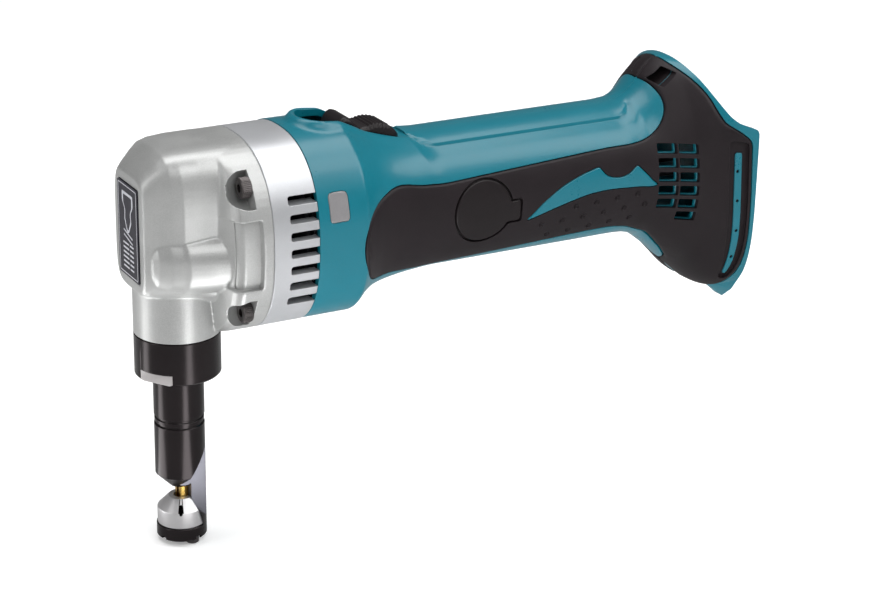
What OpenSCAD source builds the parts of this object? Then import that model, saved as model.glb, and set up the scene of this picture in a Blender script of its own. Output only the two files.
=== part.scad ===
// Hand-held cordless nibbler, millimetres.
// Origin: on the punch axis, in the plane of the lock nut's lower face.
// +X runs back along the handle, +Z is up, the tool's left side is -Y.

/* [Cutting head] */
// Outer diameter of the die holder tube
tube_d = 20; // [19:0.5:21]
// Outer diameter of the lock nut and of the boss above it
nut_d = 34; // [33:0.5:36]
// Height of the lock nut
nut_h = 17.6; // [17:0.1:18]
// Punch travel per crank turn
stroke = 6; // [5:0.25:6]
// Punch diameter in the die
punch_d = 6; // [5:0.5:6]

/* [Body] */
// Height of the motor axis above the lock nut's lower face
motor_z = 56; // [56:0.5:57]
// Wall thickness of the plastic shells
wall = 2.6; // [2.2:0.1:2.8]
// Thickness of the rubber overmould
grip_t = 1.5; // [1.2:0.1:1.7]
// Travel of the slide switch
switch_travel = 8; // [5:0.5:8]

/* [Gears] */
// Tooth module of both stages
gear_m = 0.8; // [0.8:0.01:0.81]
// Teeth of the motor pinion
pinion_teeth = 9; // [9:1:9]
// Teeth of the reduction gear
reduction_teeth = 31; // [31:1:31]
// Teeth cut on the countershaft
counter_teeth = 11; // [11:1:11]
// Teeth of the crank gear
crank_teeth = 29; // [29:1:29]

/* [Hidden] */

gap = 0.05;              // clearance between neighbouring fixed pieces
run = 0.03;              // radial running clearance
fit = 0.01;              // radial clearance of a pressed fit
far = 400;               // half-size of cutting blocks
tube_r = tube_d / 2;
nut_r = nut_d / 2;
punch_r = punch_d / 2;
throw = stroke / 2;      // crank eccentricity

head_x = -18.5;          // front face of the gear housing
seam_x = 25;             // gear housing to middle housing
shell_x = 44;            // middle housing to plastic shells
rear_x = 246;            // battery end
seat_x = 237;            // wall behind the battery rails
knob_x = 62;             // front end of the switch knob, switched off
stem_x = 73;             // front of the knob's stem
rail_y = 30.5;           // inner face of the seat's side walls

counter_z = motor_z + gear_m * (pinion_teeth + reduction_teeth) / 2;
crank_gear_x = 12.6;     // front faces of the gears
reduction_gear_x = 18.4;
gear_w = 4.8;
bearing_r = 9.5;
bearing_w = 6;
bush_r = 5;

wire_r = 1.3;
brush_x = 122.3;
cover_r = 12.8;
cover_z = 55;
yoke_r = 21.3;
ear_y = 27;
ear_z = [31, 81];

// Stations of the body: x, half width, half height, centre height, exponent
front_st = [44, 37, 38.6, 56.2, 2.4];
handle_st = [108, 25, 28.2, 56.6, 2.3];
body_st = [front_st, [64, 37, 38.6, 56.2, 2.4], [70, 34, 36.5, 57.5, 2.35],
           [78, 29.3, 33, 58.3, 2.3], [88, 26.7, 31.2, 57.9, 2.3], [98, 25.4, 29.2, 57, 2.3],
           handle_st, [196, 25, 28.2, 56.6, 2.3], [204, 27.5, 33.5, 55, 2.4],
           [210, 31, 40, 53, 2.6], [217, 34.5, 45.5, 52.5, 3], [225, 36.8, 48.5, 52, 3.4],
           [234, 37.8, 49.6, 51.2, 3.8], [246, 38, 49.6, 50.8, 4]];
// Stations of the gear housing
head_st = [[-18.5, 15, 23.5, 60.5, 4.5], [-9, 23, 30.5, 62, 3], [6, 32.5, 36, 59, 2.6],
           [20, 36.6, 38.3, 56.2, 2.4], [25, 37, 38.5, 56, 2.4]];
screw_sites = [[72, 27.5], [146.5, 41], [146.5, 66], [185.5, 40], [228, 20]];

function super(hy, hz, n, k) = [for (i = [0 : k - 1]) let (c = cos(360 * i / k), s = sin(360 * i / k))
    [hy * sign(c) * pow(abs(c), 2 / n), hz * sign(s) * pow(abs(s), 2 / n)]];
function mix(a, b, t) = a + (b - a) * t;
function span(x, i = 0) = x <= body_st[i + 1][0] || i == len(body_st) - 2 ? i : span(x, i + 1);
function station(x) = let (i = span(x), a = body_st[i], b = body_st[i + 1],
    t = (x - a[0]) / (b[0] - a[0])) mix(a, b, t);
function skin_y(x, z) = let (s = station(x)) s[1] * pow(1 - pow(abs(z - s[3]) / s[2], s[4]), 1 / s[4]);

module slice(s, inset, k) {
    translate([s[0], 0, s[3]]) rotate([90, 0, 90]) linear_extrude(0.01)
        polygon(super(s[1] - inset, s[2] - inset, s[4], k));
}

// Closed skin through all stations, inset from the outer surface
module loft(st, inset, k = 40) {
    n = len(st);
    points = [for (s = st, q = super(s[1] - inset, s[2] - inset, s[4], k)) [s[0], q[0], q[1] + s[3]]];
    ends = [[for (i = [0 : k - 1]) i], [for (i = [0 : k - 1]) n * k - 1 - i]];
    sides = [for (j = [0 : n - 2], i = [0 : k - 1]) let (a = j * k + i, b = j * k + (i + 1) % k)
        each [[a, a + k, b + k], [a, b + k, b]]];
    polyhedron(points, concat(ends, sides));
}

// Straight stretch of the body, on the section of one station
module straight(s, x0, x1, inset, k = 40) {
    translate([x0, 0, s[3]]) rotate([90, 0, 90]) linear_extrude(x1 - x0)
        polygon(super(s[1] - inset, s[2] - inset, s[4], k));
}

module along_x(x0, x1, r, y = 0, z = 0, k = 64) {
    translate([x0, y, z]) rotate([0, 90, 0]) cylinder(r = r, h = x1 - x0, $fn = k);
}

module along_y(y0, y1, r, x = 0, z = 0, k = 64) {
    translate([x, y0, z]) rotate([-90, 0, 0]) cylinder(r = r, h = y1 - y0, $fn = k);
}

module block(lo, hi) {
    translate(lo) cube(hi - lo);
}

module ring_x(x0, x1, r0, r1, y = 0, z = 0) {
    difference() {
        along_x(x0, x1, r1, y, z);
        along_x(x0 - 1, x1 + 1, r0, y, z);
    }
}

module side(s) {
    translate([-far, s < 0 ? -far : gap, -far]) cube([2 * far, far - (s < 0 ? gap : 0), 2 * far]);
}

module xz_prism(points, y0, y1) {
    translate([0, y1, 0]) rotate([90, 0, 0]) linear_extrude(y1 - y0) polygon(points);
}

// ---- plastic body ----

// Side outline of the rear end, leaning forward above the battery seat
module rear_cut(ahead = 0) {
    translate([-ahead, 0, -ahead / 2])
        xz_prism([[rear_x, -30], [rear_x, 76], [240, 77.5], [234, 81], [228.5, 86.5], [224.5, 93],
                  [222, 98.5], [219.5, 110], [300, 110], [300, -30]], -60, 60);
}

// Area of the rubber grip, seen from the side
module grip_zone(shrink = 0) {
    translate([0, 60, 0]) rotate([90, 0, 0]) linear_extrude(120) offset(delta = -shrink)
        polygon([[88, 73], [76, 71], [67, 65.5], [63, 54], [65, 44.5], [70, 37], [79, 33], [165, 33],
                 [198, 29], [208, 21], [218, 12], [231, 8.5], [239, 12], [241, 20], [241, 74],
                 [232, 78.5], [225.5, 84.5], [220, 93.5], [213, 91], [208, 84], [203, 76.5], [196, 73]]);
}

// Bare plastic around the strap lug, between the two grips
module lug_zone(extra) {
    block([198 - extra, -16 - extra, 79 - extra], [225 + extra, 16 + extra, 110]);
}

module cover_zone(extra) {
    along_y(-60, 60, cover_r + extra, brush_x, cover_z);
}

module lens_zone(extra) {
    block([48.7 - extra, -60, 64.5 - extra], [57 + extra, -20, 76 + extra]);
}

module vent_cells() {
    for (row = [0 : 5], col = [0 : 1])
        hull() for (x = [205.6, 209.4]) along_y(-60, 60, 1.7, x + 8.6 * col, 38 + 6.1 * row, 12);
}

module ribs() {
    for (x = [58, 100]) difference() {
        block([x, -60, 0], [x + 3, 60, 110]);
        along_x(x - 1, x + 4, yoke_r + 0.15, 0, motor_z, 36);
        block([x - 1, -6, 77], [x + 4, 6, 83]);
    }
    difference() {
        block([133.5, -60, 20], [140.5, 60, 100]);
        along_x(134.5, 140.6, bearing_r + 0.15, 0, motor_z, 36);
        along_x(133, 141, 7, 0, motor_z, 24);
        block([133, -6, 74], [141, 6, 83]);
        for (s = [-1, 1]) along_x(133, 141, 2, 13 * s, motor_z, 16);
    }
    block([48, -13, 82.4], [98, 13, 84.6]);
    block([seat_x - 2, -60, -10], [seat_x, 60, 77]);
    intersection() {
        difference() {
            rear_cut(8);
            rear_cut(5.5);
        }
        block([200, -60, 75], [seat_x, 60, 110]);
    }
    for (s = [-1, 1]) {
        block([seat_x - 1, s < 0 ? -60 : rail_y, 6], [rear_x + 1, s < 0 ? -rail_y : 60, 76]);
        block([rear_x - 3.5, s < 0 ? -rail_y - 1 : rail_y - 3.5, 12],
              [rear_x, s < 0 ? 3.5 - rail_y : rail_y + 1, 74]);
    }
}

module screw_posts() {
    for (p = screw_sites) let (y = skin_y(p[0], p[1]) - 1.5) along_y(-y, y, 4, p[0], p[1], 20);
    for (y = [-ear_y, ear_y], z = ear_z) along_x(shell_x, 57, 4.8, y, z, 20);
}

module screw_holes() {
    for (p = screw_sites) {
        along_y(-15, 60, 1.85, p[0], p[1], 16);
        along_y(skin_y(p[0], p[1]) - 4, 60, 3.8, p[0], p[1], 24);
    }
    for (y = [-ear_y, ear_y], z = ear_z) along_x(shell_x - 1, 54.2, 2.15, y, z, 16);
}

// Front bezel of the switch and the strap lug above the battery end
module lumps() {
    hull() {
        translate([54, 0, 92]) scale([6, 11, 7.2]) sphere(1, $fn = 24);
        translate([68, 0, 88]) scale([8, 12, 6]) sphere(1, $fn = 24);
    }
    hull() {
        for (x = [206, 217]) translate([x, 0, 96.5]) scale([5, 15, 6.2]) sphere(1, $fn = 24);
        block([203, -12, 84], [220, 12, 86]);
    }
    for (s = [-1, 1]) block([240, s * 19.5 - 3.5, -4.6], [rear_x, s * 19.5 + 3.5, 6]);
}

module strap_hole() {
    for (x = [208, 213]) along_y(-20, 20, 2.4, x, 97, 20);
    block([208, -20, 94.6], [213, 20, 99.4]);
}

module shell(s) {
    intersection() {
        difference() {
            union() {
                loft(body_st, 0);
                lumps();
            }
            difference() {
                union() {
                    loft(body_st, wall);
                    block([seat_x, -36, 5], [rear_x + 1, 36, 96]);
                    block([shell_x - 1, -24, 34], [shell_x + 1, 24, 78]);
                }
                ribs();
                screw_posts();
            }
            difference() {
                grip_zone();
                union() {
                    loft(body_st, grip_t);
                    lug_zone(0);
                }
            }
            intersection() {
                cover_zone(gap);
                difference() {
                    block([100, -60, 20], [140, 60, 90]);
                    loft(body_st, grip_t + 0.4);
                }
            }
            along_y(-60, 60, 7, brush_x, motor_z, 32);
            lens_zone(0.1);
            vent_cells();
            screw_holes();
            rear_cut();
            strap_hole();
            block([knob_x - switch_travel - 3, -9.5, 84.6], [knob_x + 34, 9.5, 110]);
            block([stem_x - switch_travel - 1, -3.2, 80], [stem_x + 15, 3.2, 86]);
            block([shell_x - 2, -60, 0], [shell_x + gap, 60, 110]);
        }
        side(s);
    }
}

module housing_left() {
    color([0.0, 0.48, 0.56]) shell(-1);
}

module housing_right() {
    color([0.0, 0.48, 0.56]) shell(1);
}

module grip(s) {
    intersection() {
        difference() {
            loft(body_st, -0.35);
            loft(body_st, grip_t - gap);
            cover_zone(0.15);
            vent_cells();
            rear_cut();
            lug_zone(gap);
            if (s > 0) for (p = screw_sites) along_y(0, 60, 4, p[0], p[1], 24);
        }
        grip_zone(gap);
        side(s);
    }
}

module grip_left() {
    color([0.17, 0.14, 0.15]) grip(-1);
}

module grip_right() {
    color([0.17, 0.14, 0.15]) grip(1);
}

module brush_cover(s) {
    intersection() {
        difference() {
            straight(handle_st, brush_x - 15, brush_x + 15, -0.35);
            straight(handle_st, brush_x - 16, brush_x + 16, grip_t + 0.35);
        }
        along_y(-60, 60, cover_r - gap, brush_x, cover_z);
        side(s);
    }
}

module brush_cover_left() {
    color([0.17, 0.14, 0.15]) brush_cover(-1);
}

module brush_cover_right() {
    color([0.17, 0.14, 0.15]) brush_cover(1);
}

module lamp_lens() {
    color([0.6, 0.63, 0.65]) intersection() {
        difference() {
            straight(front_st, 47, 59, 0);
            straight(front_st, 46, 60, wall);
        }
        block([48.75, -60, 64.55], [56.95, -20, 75.95]);
    }
}

module lamp_board() {
    color([0.1, 0.35, 0.2]) union() {
        block([48, -29.5, 64], [56.5, -28.3, 75]);
        for (z = [67, 72]) along_y(-30.4, -29.4, 1.3, 52.5, z);
    }
}

// ---- switch ----

module switch_knob() {
    color([0.05, 0.05, 0.06]) union() {
        translate([knob_x, 0, 0])
            xz_prism([[0, 84.7], [0, 90], [2, 95.3], [5.7, 97.2], [9, 95.6], [13, 93.2], [18, 92.6],
                      [23, 92.2], [28, 90.4], [31.6, 87.6], [32.8, 84.7]], -8, 8);
        block([stem_x, -2.5, 79], [stem_x + 6, 2.5, 85]);
    }
}

module switch_lever() {
    color([0.12, 0.12, 0.13]) difference() {
        union() {
            block([70, -4, 78.7], [172, 4, 80.6]);
            block([168, -1.5, 74.6], [171, 1.5, 79]);
        }
        block([stem_x - 0.1, -2.6, 78], [stem_x + 6.1, 2.6, 81]);
    }
}

module switch_body() {
    color([0.15, 0.15, 0.16]) difference() {
        block([153, -8.5, 58], [181, 8.5, 76.5]);
        block([168 - switch_travel - 0.4, -1.7, 74.2], [171.4, 1.7, 77]);
    }
}

module controller() {
    color([0.1, 0.1, 0.11]) block([190.5, -16, 44], [202.5, 16, 70]);
}

module terminal_block() {
    color([0.72, 0.6, 0.05]) difference() {
        block([seat_x + gap, -17, 28], [244, 17, 66]);
        for (y = [-12, 0, 12]) block([239, y - 1, 27], [245, y + 1, 60]);
    }
}

module terminal_blades() {
    color([0.75, 0.5, 0.25]) for (y = [-12, 0, 12]) block([239.5, y - 0.4, 30], [243.6, y + 0.4, 59]);
}

// Lead from a brush holder past the rear bearing to the switch body
module motor_lead(s) {
    bend = [143, 13 * s, motor_z];
    end = [151.5, 6 * s, 60];
    slope = end - bend;
    along_x(126.8, bend[0], wire_r, bend[1], bend[2], 24);
    translate(bend) sphere(wire_r, $fn = 24);
    translate(bend) rotate([0, acos(slope[2] / norm(slope)), atan2(slope[1], slope[0])])
        cylinder(r = wire_r, h = norm(slope), $fn = 24);
    translate(end) sphere(wire_r, $fn = 24);
}

module lead_wires() {
    color([0.6, 0.05, 0.05]) for (s = [-1, 1]) along_x(202.6, 234.9, wire_r, 8 * s, 52);
    color([0.05, 0.05, 0.05]) for (s = [-1, 1]) along_x(181.1, 190.4, wire_r, 5 * s, 62);
    color([0.05, 0.05, 0.05]) for (s = [-1, 1]) motor_lead(s);
}

// ---- brush gear ----

module brush_holders() {
    color([0.75, 0.6, 0.3]) for (s = [-1, 1]) difference() {
        block([118, s < 0 ? -20 : 11, motor_z - 5.8], [126.6, s < 0 ? -11 : 20, motor_z + 5.8]);
        block([119.3, s < 0 ? -21 : 10, motor_z - 4.5], [125.3, s < 0 ? -10 : 21, motor_z + 4.5]);
    }
}

module brushes() {
    color([0.12, 0.12, 0.12]) for (s = [-1, 1])
        block([119.4, s < 0 ? -17.4 : 10.2, motor_z - 4.4], [125.2, s < 0 ? -10.2 : 17.4, motor_z + 4.4]);
}

module brush_springs() {
    turns = 2.5;
    steps = 30;
    coil_r = 2.3;
    color([0.7, 0.7, 0.72]) for (s = [-1, 1]) for (i = [0 : steps - 1]) hull() for (j = [i, i + 1])
        translate([brush_x + coil_r * cos(360 * turns * j / steps), s * (17.8 + 1.7 * j / steps),
                   motor_z + coil_r * sin(360 * turns * j / steps)]) sphere(0.28, $fn = 8);
}

module brush_caps() {
    color([0.1, 0.1, 0.1]) for (s = [-1, 1]) difference() {
        along_y(s < 0 ? -22.1 : 20.1, s < 0 ? -20.1 : 22.1, 6.5, brush_x, motor_z);
        block([brush_x - 5, s < 0 ? -23 : 21.3, motor_z - 0.6],
              [brush_x + 5, s < 0 ? -21.3 : 23, motor_z + 0.6]);
    }
}

// ---- motor ----

module motor_yoke() {
    color([0.45, 0.46, 0.48]) ring_x(52, 108, 19.2, yoke_r, 0, motor_z);
}

module magnets() {
    color([0.2, 0.2, 0.22]) for (a = [0, 180]) translate([56, 0, motor_z]) rotate([a, 0, 0])
        intersection() {
            ring_x(0, 48, 16.2, 19.2 - gap);
            block([-1, 8, -16], [49, 20, 16]);
        }
}

module motor_shaft() {
    color([0.75, 0.76, 0.78]) union() {
        translate([reduction_gear_x - 0.4, 0, motor_z]) gear(pinion_teeth, 0.5, 6.2);
        along_x(24, 46, 3.5, 0, motor_z);
        along_x(46, 132, 4, 0, motor_z);
        along_x(132, 141, 3, 0, motor_z);
    }
}

module armature_core() {
    slots = 12;
    color([0.5, 0.5, 0.52]) difference() {
        ring_x(58, 102, 4 + fit, 15.4, 0, motor_z);
        for (i = [0 : slots - 1]) translate([57, 0, motor_z]) rotate([360 * i / slots, 0, 0])
            translate([0, -0.8, 12]) cube([46, 1.6, 5]);
    }
}

module windings() {
    color([0.72, 0.35, 0.15]) for (x = [51, 102.1]) translate([x, 0, motor_z]) rotate([0, 90, 0])
        rotate_extrude($fn = 64) polygon([[4.1, 0.6], [6, 0], [12, 0], [14, 1.6], [14, 5.4], [12, 6.9],
                                          [6, 6.9], [4.1, 6.2]]);
}

module commutator() {
    bars = 12;
    color([0.8, 0.5, 0.25]) difference() {
        ring_x(114, 130, 4 + fit, 10, 0, motor_z);
        for (i = [0 : bars - 1]) translate([116, 0, motor_z]) rotate([360 * (i + 0.5) / bars, 0, 0])
            translate([0, -0.2, 8.8]) cube([15, 0.4, 3]);
    }
}

module fan() {
    blades = 9;
    color([0.15, 0.15, 0.16]) difference() {
        union() {
            along_x(34, 43.4, 8, 0, motor_z);
            along_x(41.8, 43.4, 30, 0, motor_z);
            for (i = [0 : blades - 1]) translate([0, 0, motor_z]) rotate([360 * i / blades, 0, 0])
                block([34.5, -0.7, 7], [42, 0.7, 29]);
        }
        along_x(33, 45, 3.5 + fit, 0, motor_z);
    }
}

module baffle() {
    color([0.2, 0.2, 0.21]) ring_x(44.6, 46.2, 20, 31.5, 0, motor_z);
}

// Sealed ball bearing: a ring with a shallow groove on both faces
module bearing(x, bore_r, out_r, z) {
    translate([x, 0, z]) rotate([0, 90, 0]) rotate_extrude($fn = 64)
        polygon([[bore_r, 0], [bore_r + 1.2, 0], [bore_r + 1.6, 0.4], [out_r - 1.8, 0.4], [out_r - 1.4, 0],
                 [out_r, 0], [out_r, bearing_w], [out_r - 1.4, bearing_w], [out_r - 1.8, bearing_w - 0.4],
                 [bore_r + 1.6, bearing_w - 0.4], [bore_r + 1.2, bearing_w], [bore_r, bearing_w]]);
}

module motor_front_bearing() {
    color([0.7, 0.71, 0.73]) bearing(25.2, 3.5 + run, bearing_r - fit, motor_z);
}

module motor_rear_bearing() {
    color([0.7, 0.71, 0.73]) bearing(134.6, 3 + run, bearing_r - fit, motor_z);
}

// ---- gears ----

function inv_deg(a) = tan(a) * 180 / PI - a;

// Involute outline; shift is the profile shift in modules
function gear_outline(teeth, shift) = let (
    rp = gear_m * teeth / 2,
    rb = rp * cos(20),
    ra = rp + gear_m * (0.9 + shift),
    rf = rp + gear_m * (shift - 1.2),
    half = 90 / teeth + 2 * shift * tan(20) / teeth * 180 / PI - 0.05 / rp * 180 / PI,
    r0 = max(rb * 1.0005, rf),
    steps = 5)
    [for (i = [0 : teeth - 1], side = [-1, 1], k = [0 : steps + 1])
        let (j = side < 0 ? k : steps + 1 - k,
             r = j == 0 ? rf : r0 + (ra - r0) * (j - 1) / steps,
             rr = max(r, rb * 1.0005),
             a = half + inv_deg(20) - inv_deg(acos(rb / rr)))
        [r * cos(360 * i / teeth + side * a), r * sin(360 * i / teeth + side * a)]];

// One tooth points along +Z. Every count is odd, so a gap points along -Z and each pair meshes at rest
module gear(teeth, shift, width) {
    rotate([0, 90, 0]) rotate([0, 0, 180]) linear_extrude(width) polygon(gear_outline(teeth, shift));
}

module countershaft() {
    color([0.68, 0.69, 0.72]) union() {
        along_x(5.9, 12.6, 2.5, 0, counter_z);
        translate([crank_gear_x, 0, counter_z]) gear(counter_teeth, 0.3, gear_w);
        along_x(17.3, 31.2, 2.5, 0, counter_z);
    }
}

module reduction_gear() {
    color([0.6, 0.61, 0.64]) translate([reduction_gear_x, 0, counter_z]) difference() {
        gear(reduction_teeth, -0.5, gear_w);
        along_x(-1, 6, 2.5 + fit);
        for (i = [0 : 5]) rotate([60 * i + 30, 0, 0]) along_x(-1, 6, 1.8, 0, 7);
    }
}

module countershaft_bushes() {
    color([0.75, 0.6, 0.35]) for (x = [5.9, 25.3])
        ring_x(x, x + 5.8, 2.5 + run, bush_r - fit, 0, counter_z);
}

module crank_gear() {
    color([0.6, 0.61, 0.64]) translate([crank_gear_x, 0, motor_z]) difference() {
        gear(crank_teeth, -0.3, gear_w);
        along_x(-1, 6, 4 + fit);
    }
}

module gear_plate() {
    plate_z = motor_z + 8;
    color([0.55, 0.56, 0.58]) difference() {
        along_x(5.5, 12, 22, 0, plate_z);
        along_x(5, 13, bearing_r, 0, motor_z);
        along_x(5, 13, bush_r, 0, counter_z);
        for (p = plate_screws) {
            along_x(5, 13, 1.6, p[0], p[1]);
            along_x(9.9, 13, 2.7, p[0], p[1]);
        }
    }
}

plate_screws = [[-17.5, 66], [17.5, 66], [-9.5, 80.5], [9.5, 80.5]];

module gear_plate_screws() {
    color([0.3, 0.3, 0.32]) for (p = plate_screws) union() {
        along_x(-1.5, 10.5, 1.5, p[0], p[1]);
        along_x(10, 11.9, 2.6, p[0], p[1]);
    }
}

// ---- crank, rod and punch ----

rod_len = 21.5;
eye_z = motor_z + throw - rod_len;
pin_r = 1.5;

module crankshaft() {
    color([0.7, 0.71, 0.73]) union() {
        along_x(-14.6, 17.6, 4, 0, motor_z);
        along_x(-4.6, 4.6, 8, 0, motor_z + throw);
    }
}

module crank_bearings() {
    color([0.7, 0.71, 0.73]) for (x = [-15, 5.8]) bearing(x, 4 + run, bearing_r - fit, motor_z);
}

module rod_bearing() {
    color([0.6, 0.6, 0.62]) ring_x(-4, 4, 8 + run, 10 - fit, 0, motor_z + throw);
}

// The small end is an upright slot: the pin has room in it at every crank angle
module connecting_rod() {
    slot_w = throw + pin_r + gap;
    slot_h = stroke + gap;
    rim = 2;
    color([0.5, 0.51, 0.54]) difference() {
        union() {
            along_x(-3.5, 3.5, 13, 0, motor_z + throw);
            along_x(-3.5, 3.5, slot_w + rim, 0, eye_z - slot_h + throw);
            block([-3.5, -slot_w - rim, eye_z - slot_h + throw], [3.5, slot_w + rim, motor_z - 8]);
        }
        along_x(-5, 5, 10, 0, motor_z + throw);
        along_x(-5, 5, slot_w, 0, eye_z - slot_h + throw);
        block([-5, -slot_w, eye_z - slot_h + throw], [5, slot_w, eye_z + slot_h + pin_r]);
    }
}

module wrist_pin() {
    color([0.75, 0.76, 0.78]) along_x(-7.4, 7.4, pin_r, 0, eye_z);
}

module piston() {
    color([0.58, 0.59, 0.62]) difference() {
        translate([0, 0, 9]) cylinder(r = 9, h = 32, $fn = 64);
        block([-4.2, -10, 20], [4.2, 10, 42]);
        along_x(-10, 10, pin_r + fit, 0, eye_z);
        translate([0, 0, 8]) cylinder(r = 2.6, h = 4, $fn = 64);
        block([-10, -2.6, 8], [0, 2.6, 12]);
        translate([0, 0, 11.5]) cylinder(r = 4.6, h = 3.6, $fn = 64);
        block([-10, -4.6, 11.5], [0, 4.6, 15.1]);
    }
}

module guide_bush() {
    color([0.72, 0.58, 0.3]) difference() {
        translate([0, 0, 6.6]) cylinder(r = 11.5 - fit, h = 12.6, $fn = 64);
        cylinder(r = 9 + run, h = 30, $fn = 64);
    }
}

module punch() {
    color([0.83, 0.64, 0.28]) difference() {
        union() {
            translate([0, 0, 11.6]) cylinder(r = 4.5, h = 3.4, $fn = 64);
            translate([0, 0, 8]) cylinder(r = 2.5, h = 4, $fn = 64);
            translate([0, 0, -34]) cylinder(r = 5, h = 42.8, $fn = 64);
            translate([0, 0, -64]) cylinder(r = punch_r, h = 31, $fn = 64);
        }
        block([-4, -1, -65], [0.6, 1, -47.4]);
        block([-4, -4, -57.4], [-1.4, 4, -47.4]);
    }
}

// Sloping plane behind the die, shared by the die and the holder's column
module die_back(offset) {
    xz_prism([[2.2 + offset, -40], [2.2 + offset, -53.7], [6 + offset, -65], [6 + offset, -80],
              [30, -80], [30, -40]], -20, 20);
}

module die_screw_sites() {
    for (s = [-1, 1]) translate([1.9 * s, -6 * s, 0]) children();
}

module die_holder() {
    color([0.09, 0.09, 0.1]) difference() {
        union() {
            translate([0, 0, 3.1]) cylinder(r = 12.8, h = 2.9, $fn = 64);
            translate([0, 0, -1]) cylinder(r = tube_r - 0.2, h = 4.2, $fn = 64);
            translate([0, 0, -43]) cylinder(r = tube_r, h = 43, $fn = 64);
            translate([0, 0, -48.7]) cylinder(r1 = 4.4, r2 = tube_r, h = 5.7, $fn = 64);
            intersection() {
                translate([0, 0, -66]) cylinder(r = tube_r, h = 24, $fn = 64);
                die_back(0);
                block([0, -7, -67], [12, 7, -42]);
            }
            translate([0, 0, -70.5]) cylinder(r = tube_r, h = 5.4, $fn = 64);
        }
        translate([0, 0, 2.9]) cylinder(r = 9.4, h = 4, $fn = 64);
        translate([0, 0, -41]) cylinder(r = 5 + run, h = 50, $fn = 64);
        translate([0, 0, -66]) cylinder(r = punch_r + run, h = 28, $fn = 64);
        translate([0, 0, -72]) cylinder(r = 4, h = 8, $fn = 64);
        difference() {
            translate([0, 0, -21.5]) cylinder(r = 12, h = 3.5, $fn = 64);
            translate([0, 0, -22]) cylinder(r = tube_r - 0.8, h = 5, $fn = 64);
        }
        die_screw_sites() {
            translate([0, 0, -72]) cylinder(r = 1.6, h = 8, $fn = 48);
            translate([0, 0, -72]) cylinder(r = 2.9, h = 2.6, $fn = 48);
        }
        for (a = [20, 110, 200, 290]) rotate([0, 0, a]) block([8.6, -1.2, -71], [11, 1.2, -69.2]);
    }
}

module die() {
    color([0.8, 0.81, 0.83]) difference() {
        union() {
            translate([0, 0, -65]) cylinder(r = 9.6, h = 6.7, $fn = 64);
            translate([0, 0, -58.3]) cylinder(r1 = 9.6, r2 = 5, h = 4.6, $fn = 64);
        }
        translate([0, 0, -66]) cylinder(r = punch_r + 0.06, h = 14, $fn = 64);
        translate([0, 0, -66]) cylinder(r = 4, h = 5.5, $fn = 64);
        rotate([0, 0, 235]) along_x(2, 12, 1.9, 0, -62);
        die_back(-gap);
        die_screw_sites() translate([0, 0, -66]) cylinder(r = 1.42, h = 6, $fn = 48);
    }
}

module die_screws() {
    color([0.12, 0.12, 0.13]) die_screw_sites() difference() {
        union() {
            translate([0, 0, -71]) cylinder(r = 1.4, h = 10.6, $fn = 48);
            translate([0, 0, -72.5]) cylinder(r = 2.7, h = 3, $fn = 48);
        }
        translate([0, 0, -73]) cylinder(r = 1.3, h = 1.9, $fn = 6);
    }
}

module lock_nut() {
    color([0.07, 0.07, 0.08]) difference() {
        cylinder(r = nut_r, h = nut_h, $fn = 64);
        translate([0, 0, -1]) cylinder(r = tube_r + 0.1, h = 20, $fn = 64);
        translate([0, 0, 3]) cylinder(r = 14.1, h = 20, $fn = 64);
        for (a = [35, 215]) rotate([0, 0, a]) block([nut_r - 1.6, -10, -1], [20, 10, 4.4]);
    }
}

// ---- metal housings ----

module ear_pocket(y, z) {
    s = sign(y);
    along_x(8, 19, 7, y + 1.5 * s, z + (z > motor_z ? 2 : -2));
    translate([8, y + 1.5 * s, z + (z > motor_z ? 2 : -2)]) sphere(7, $fn = 48);
}

module gear_housing() {
    boss_z = nut_h + 0.1;
    color([0.7, 0.71, 0.73]) difference() {
        union() {
            hull() for (s = head_st) slice(s, 0, 32);
            for (y = [-ear_y, ear_y], z = ear_z) along_x(19, seam_x, 6.4, y, z);
            translate([0, 0, boss_z]) cylinder(r = nut_r, h = 30, $fn = 64);
            translate([0, 0, 6.2]) cylinder(r = 14, h = 12, $fn = 64);
        }
        along_x(-8.5, 6, 17, 0, motor_z);
        along_x(5.4, seam_x + 1, 22.1, 0, motor_z + 8);
        along_x(-15.3, -8, bearing_r, 0, motor_z);
        translate([0, 0, 5]) cylinder(r = 11.5, h = 20, $fn = 64);
        translate([0, 0, 19.3]) cylinder(r = 12.3, h = 34, $fn = 64);
        for (p = plate_screws) along_x(-2, 6, 1.55, p[0], p[1]);
        for (y = [-ear_y, ear_y], z = ear_z) {
            along_x(10, seam_x + 1, 2.1, y, z);
            ear_pocket(y, z);
        }
    }
}

module nameplate() {
    color([0.1, 0.1, 0.11]) block([head_x - 0.5, -9.75, 42], [head_x - 0.02, 9.75, 79.5]);
}

module exhaust_slot(z) {
    block([33.8, -60, z - 1.75], [shell_x + 1, 60, z + 1.75]);
    along_y(-60, 60, 1.75, 33.8, z);
}

module middle_housing() {
    first_slot_z = 34.8;
    slot_pitch = 6.75;
    color([0.7, 0.71, 0.73]) difference() {
        translate([seam_x + gap, 0, motor_z]) rotate([90, 0, 90])
            linear_extrude(shell_x - seam_x - gap) polygon(super(37, 38.5, 2.4, 48));
        along_x(31.5, shell_x + 1, 33, 0, motor_z);
        along_x(seam_x - 1, 32, bearing_r, 0, motor_z);
        along_x(seam_x - 1, 31.2, bush_r, 0, counter_z);
        for (y = [-ear_y, ear_y], z = ear_z) along_x(seam_x - 1, shell_x + 1, 2.1, y, z);
        difference() {
            for (i = [0 : 6]) exhaust_slot(first_slot_z + slot_pitch * i);
            along_x(20, 60, 30, 0, motor_z);
            for (y = [-ear_y, ear_y], z = ear_z) along_x(20, 60, 4, y, z);
        }
    }
}

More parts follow.
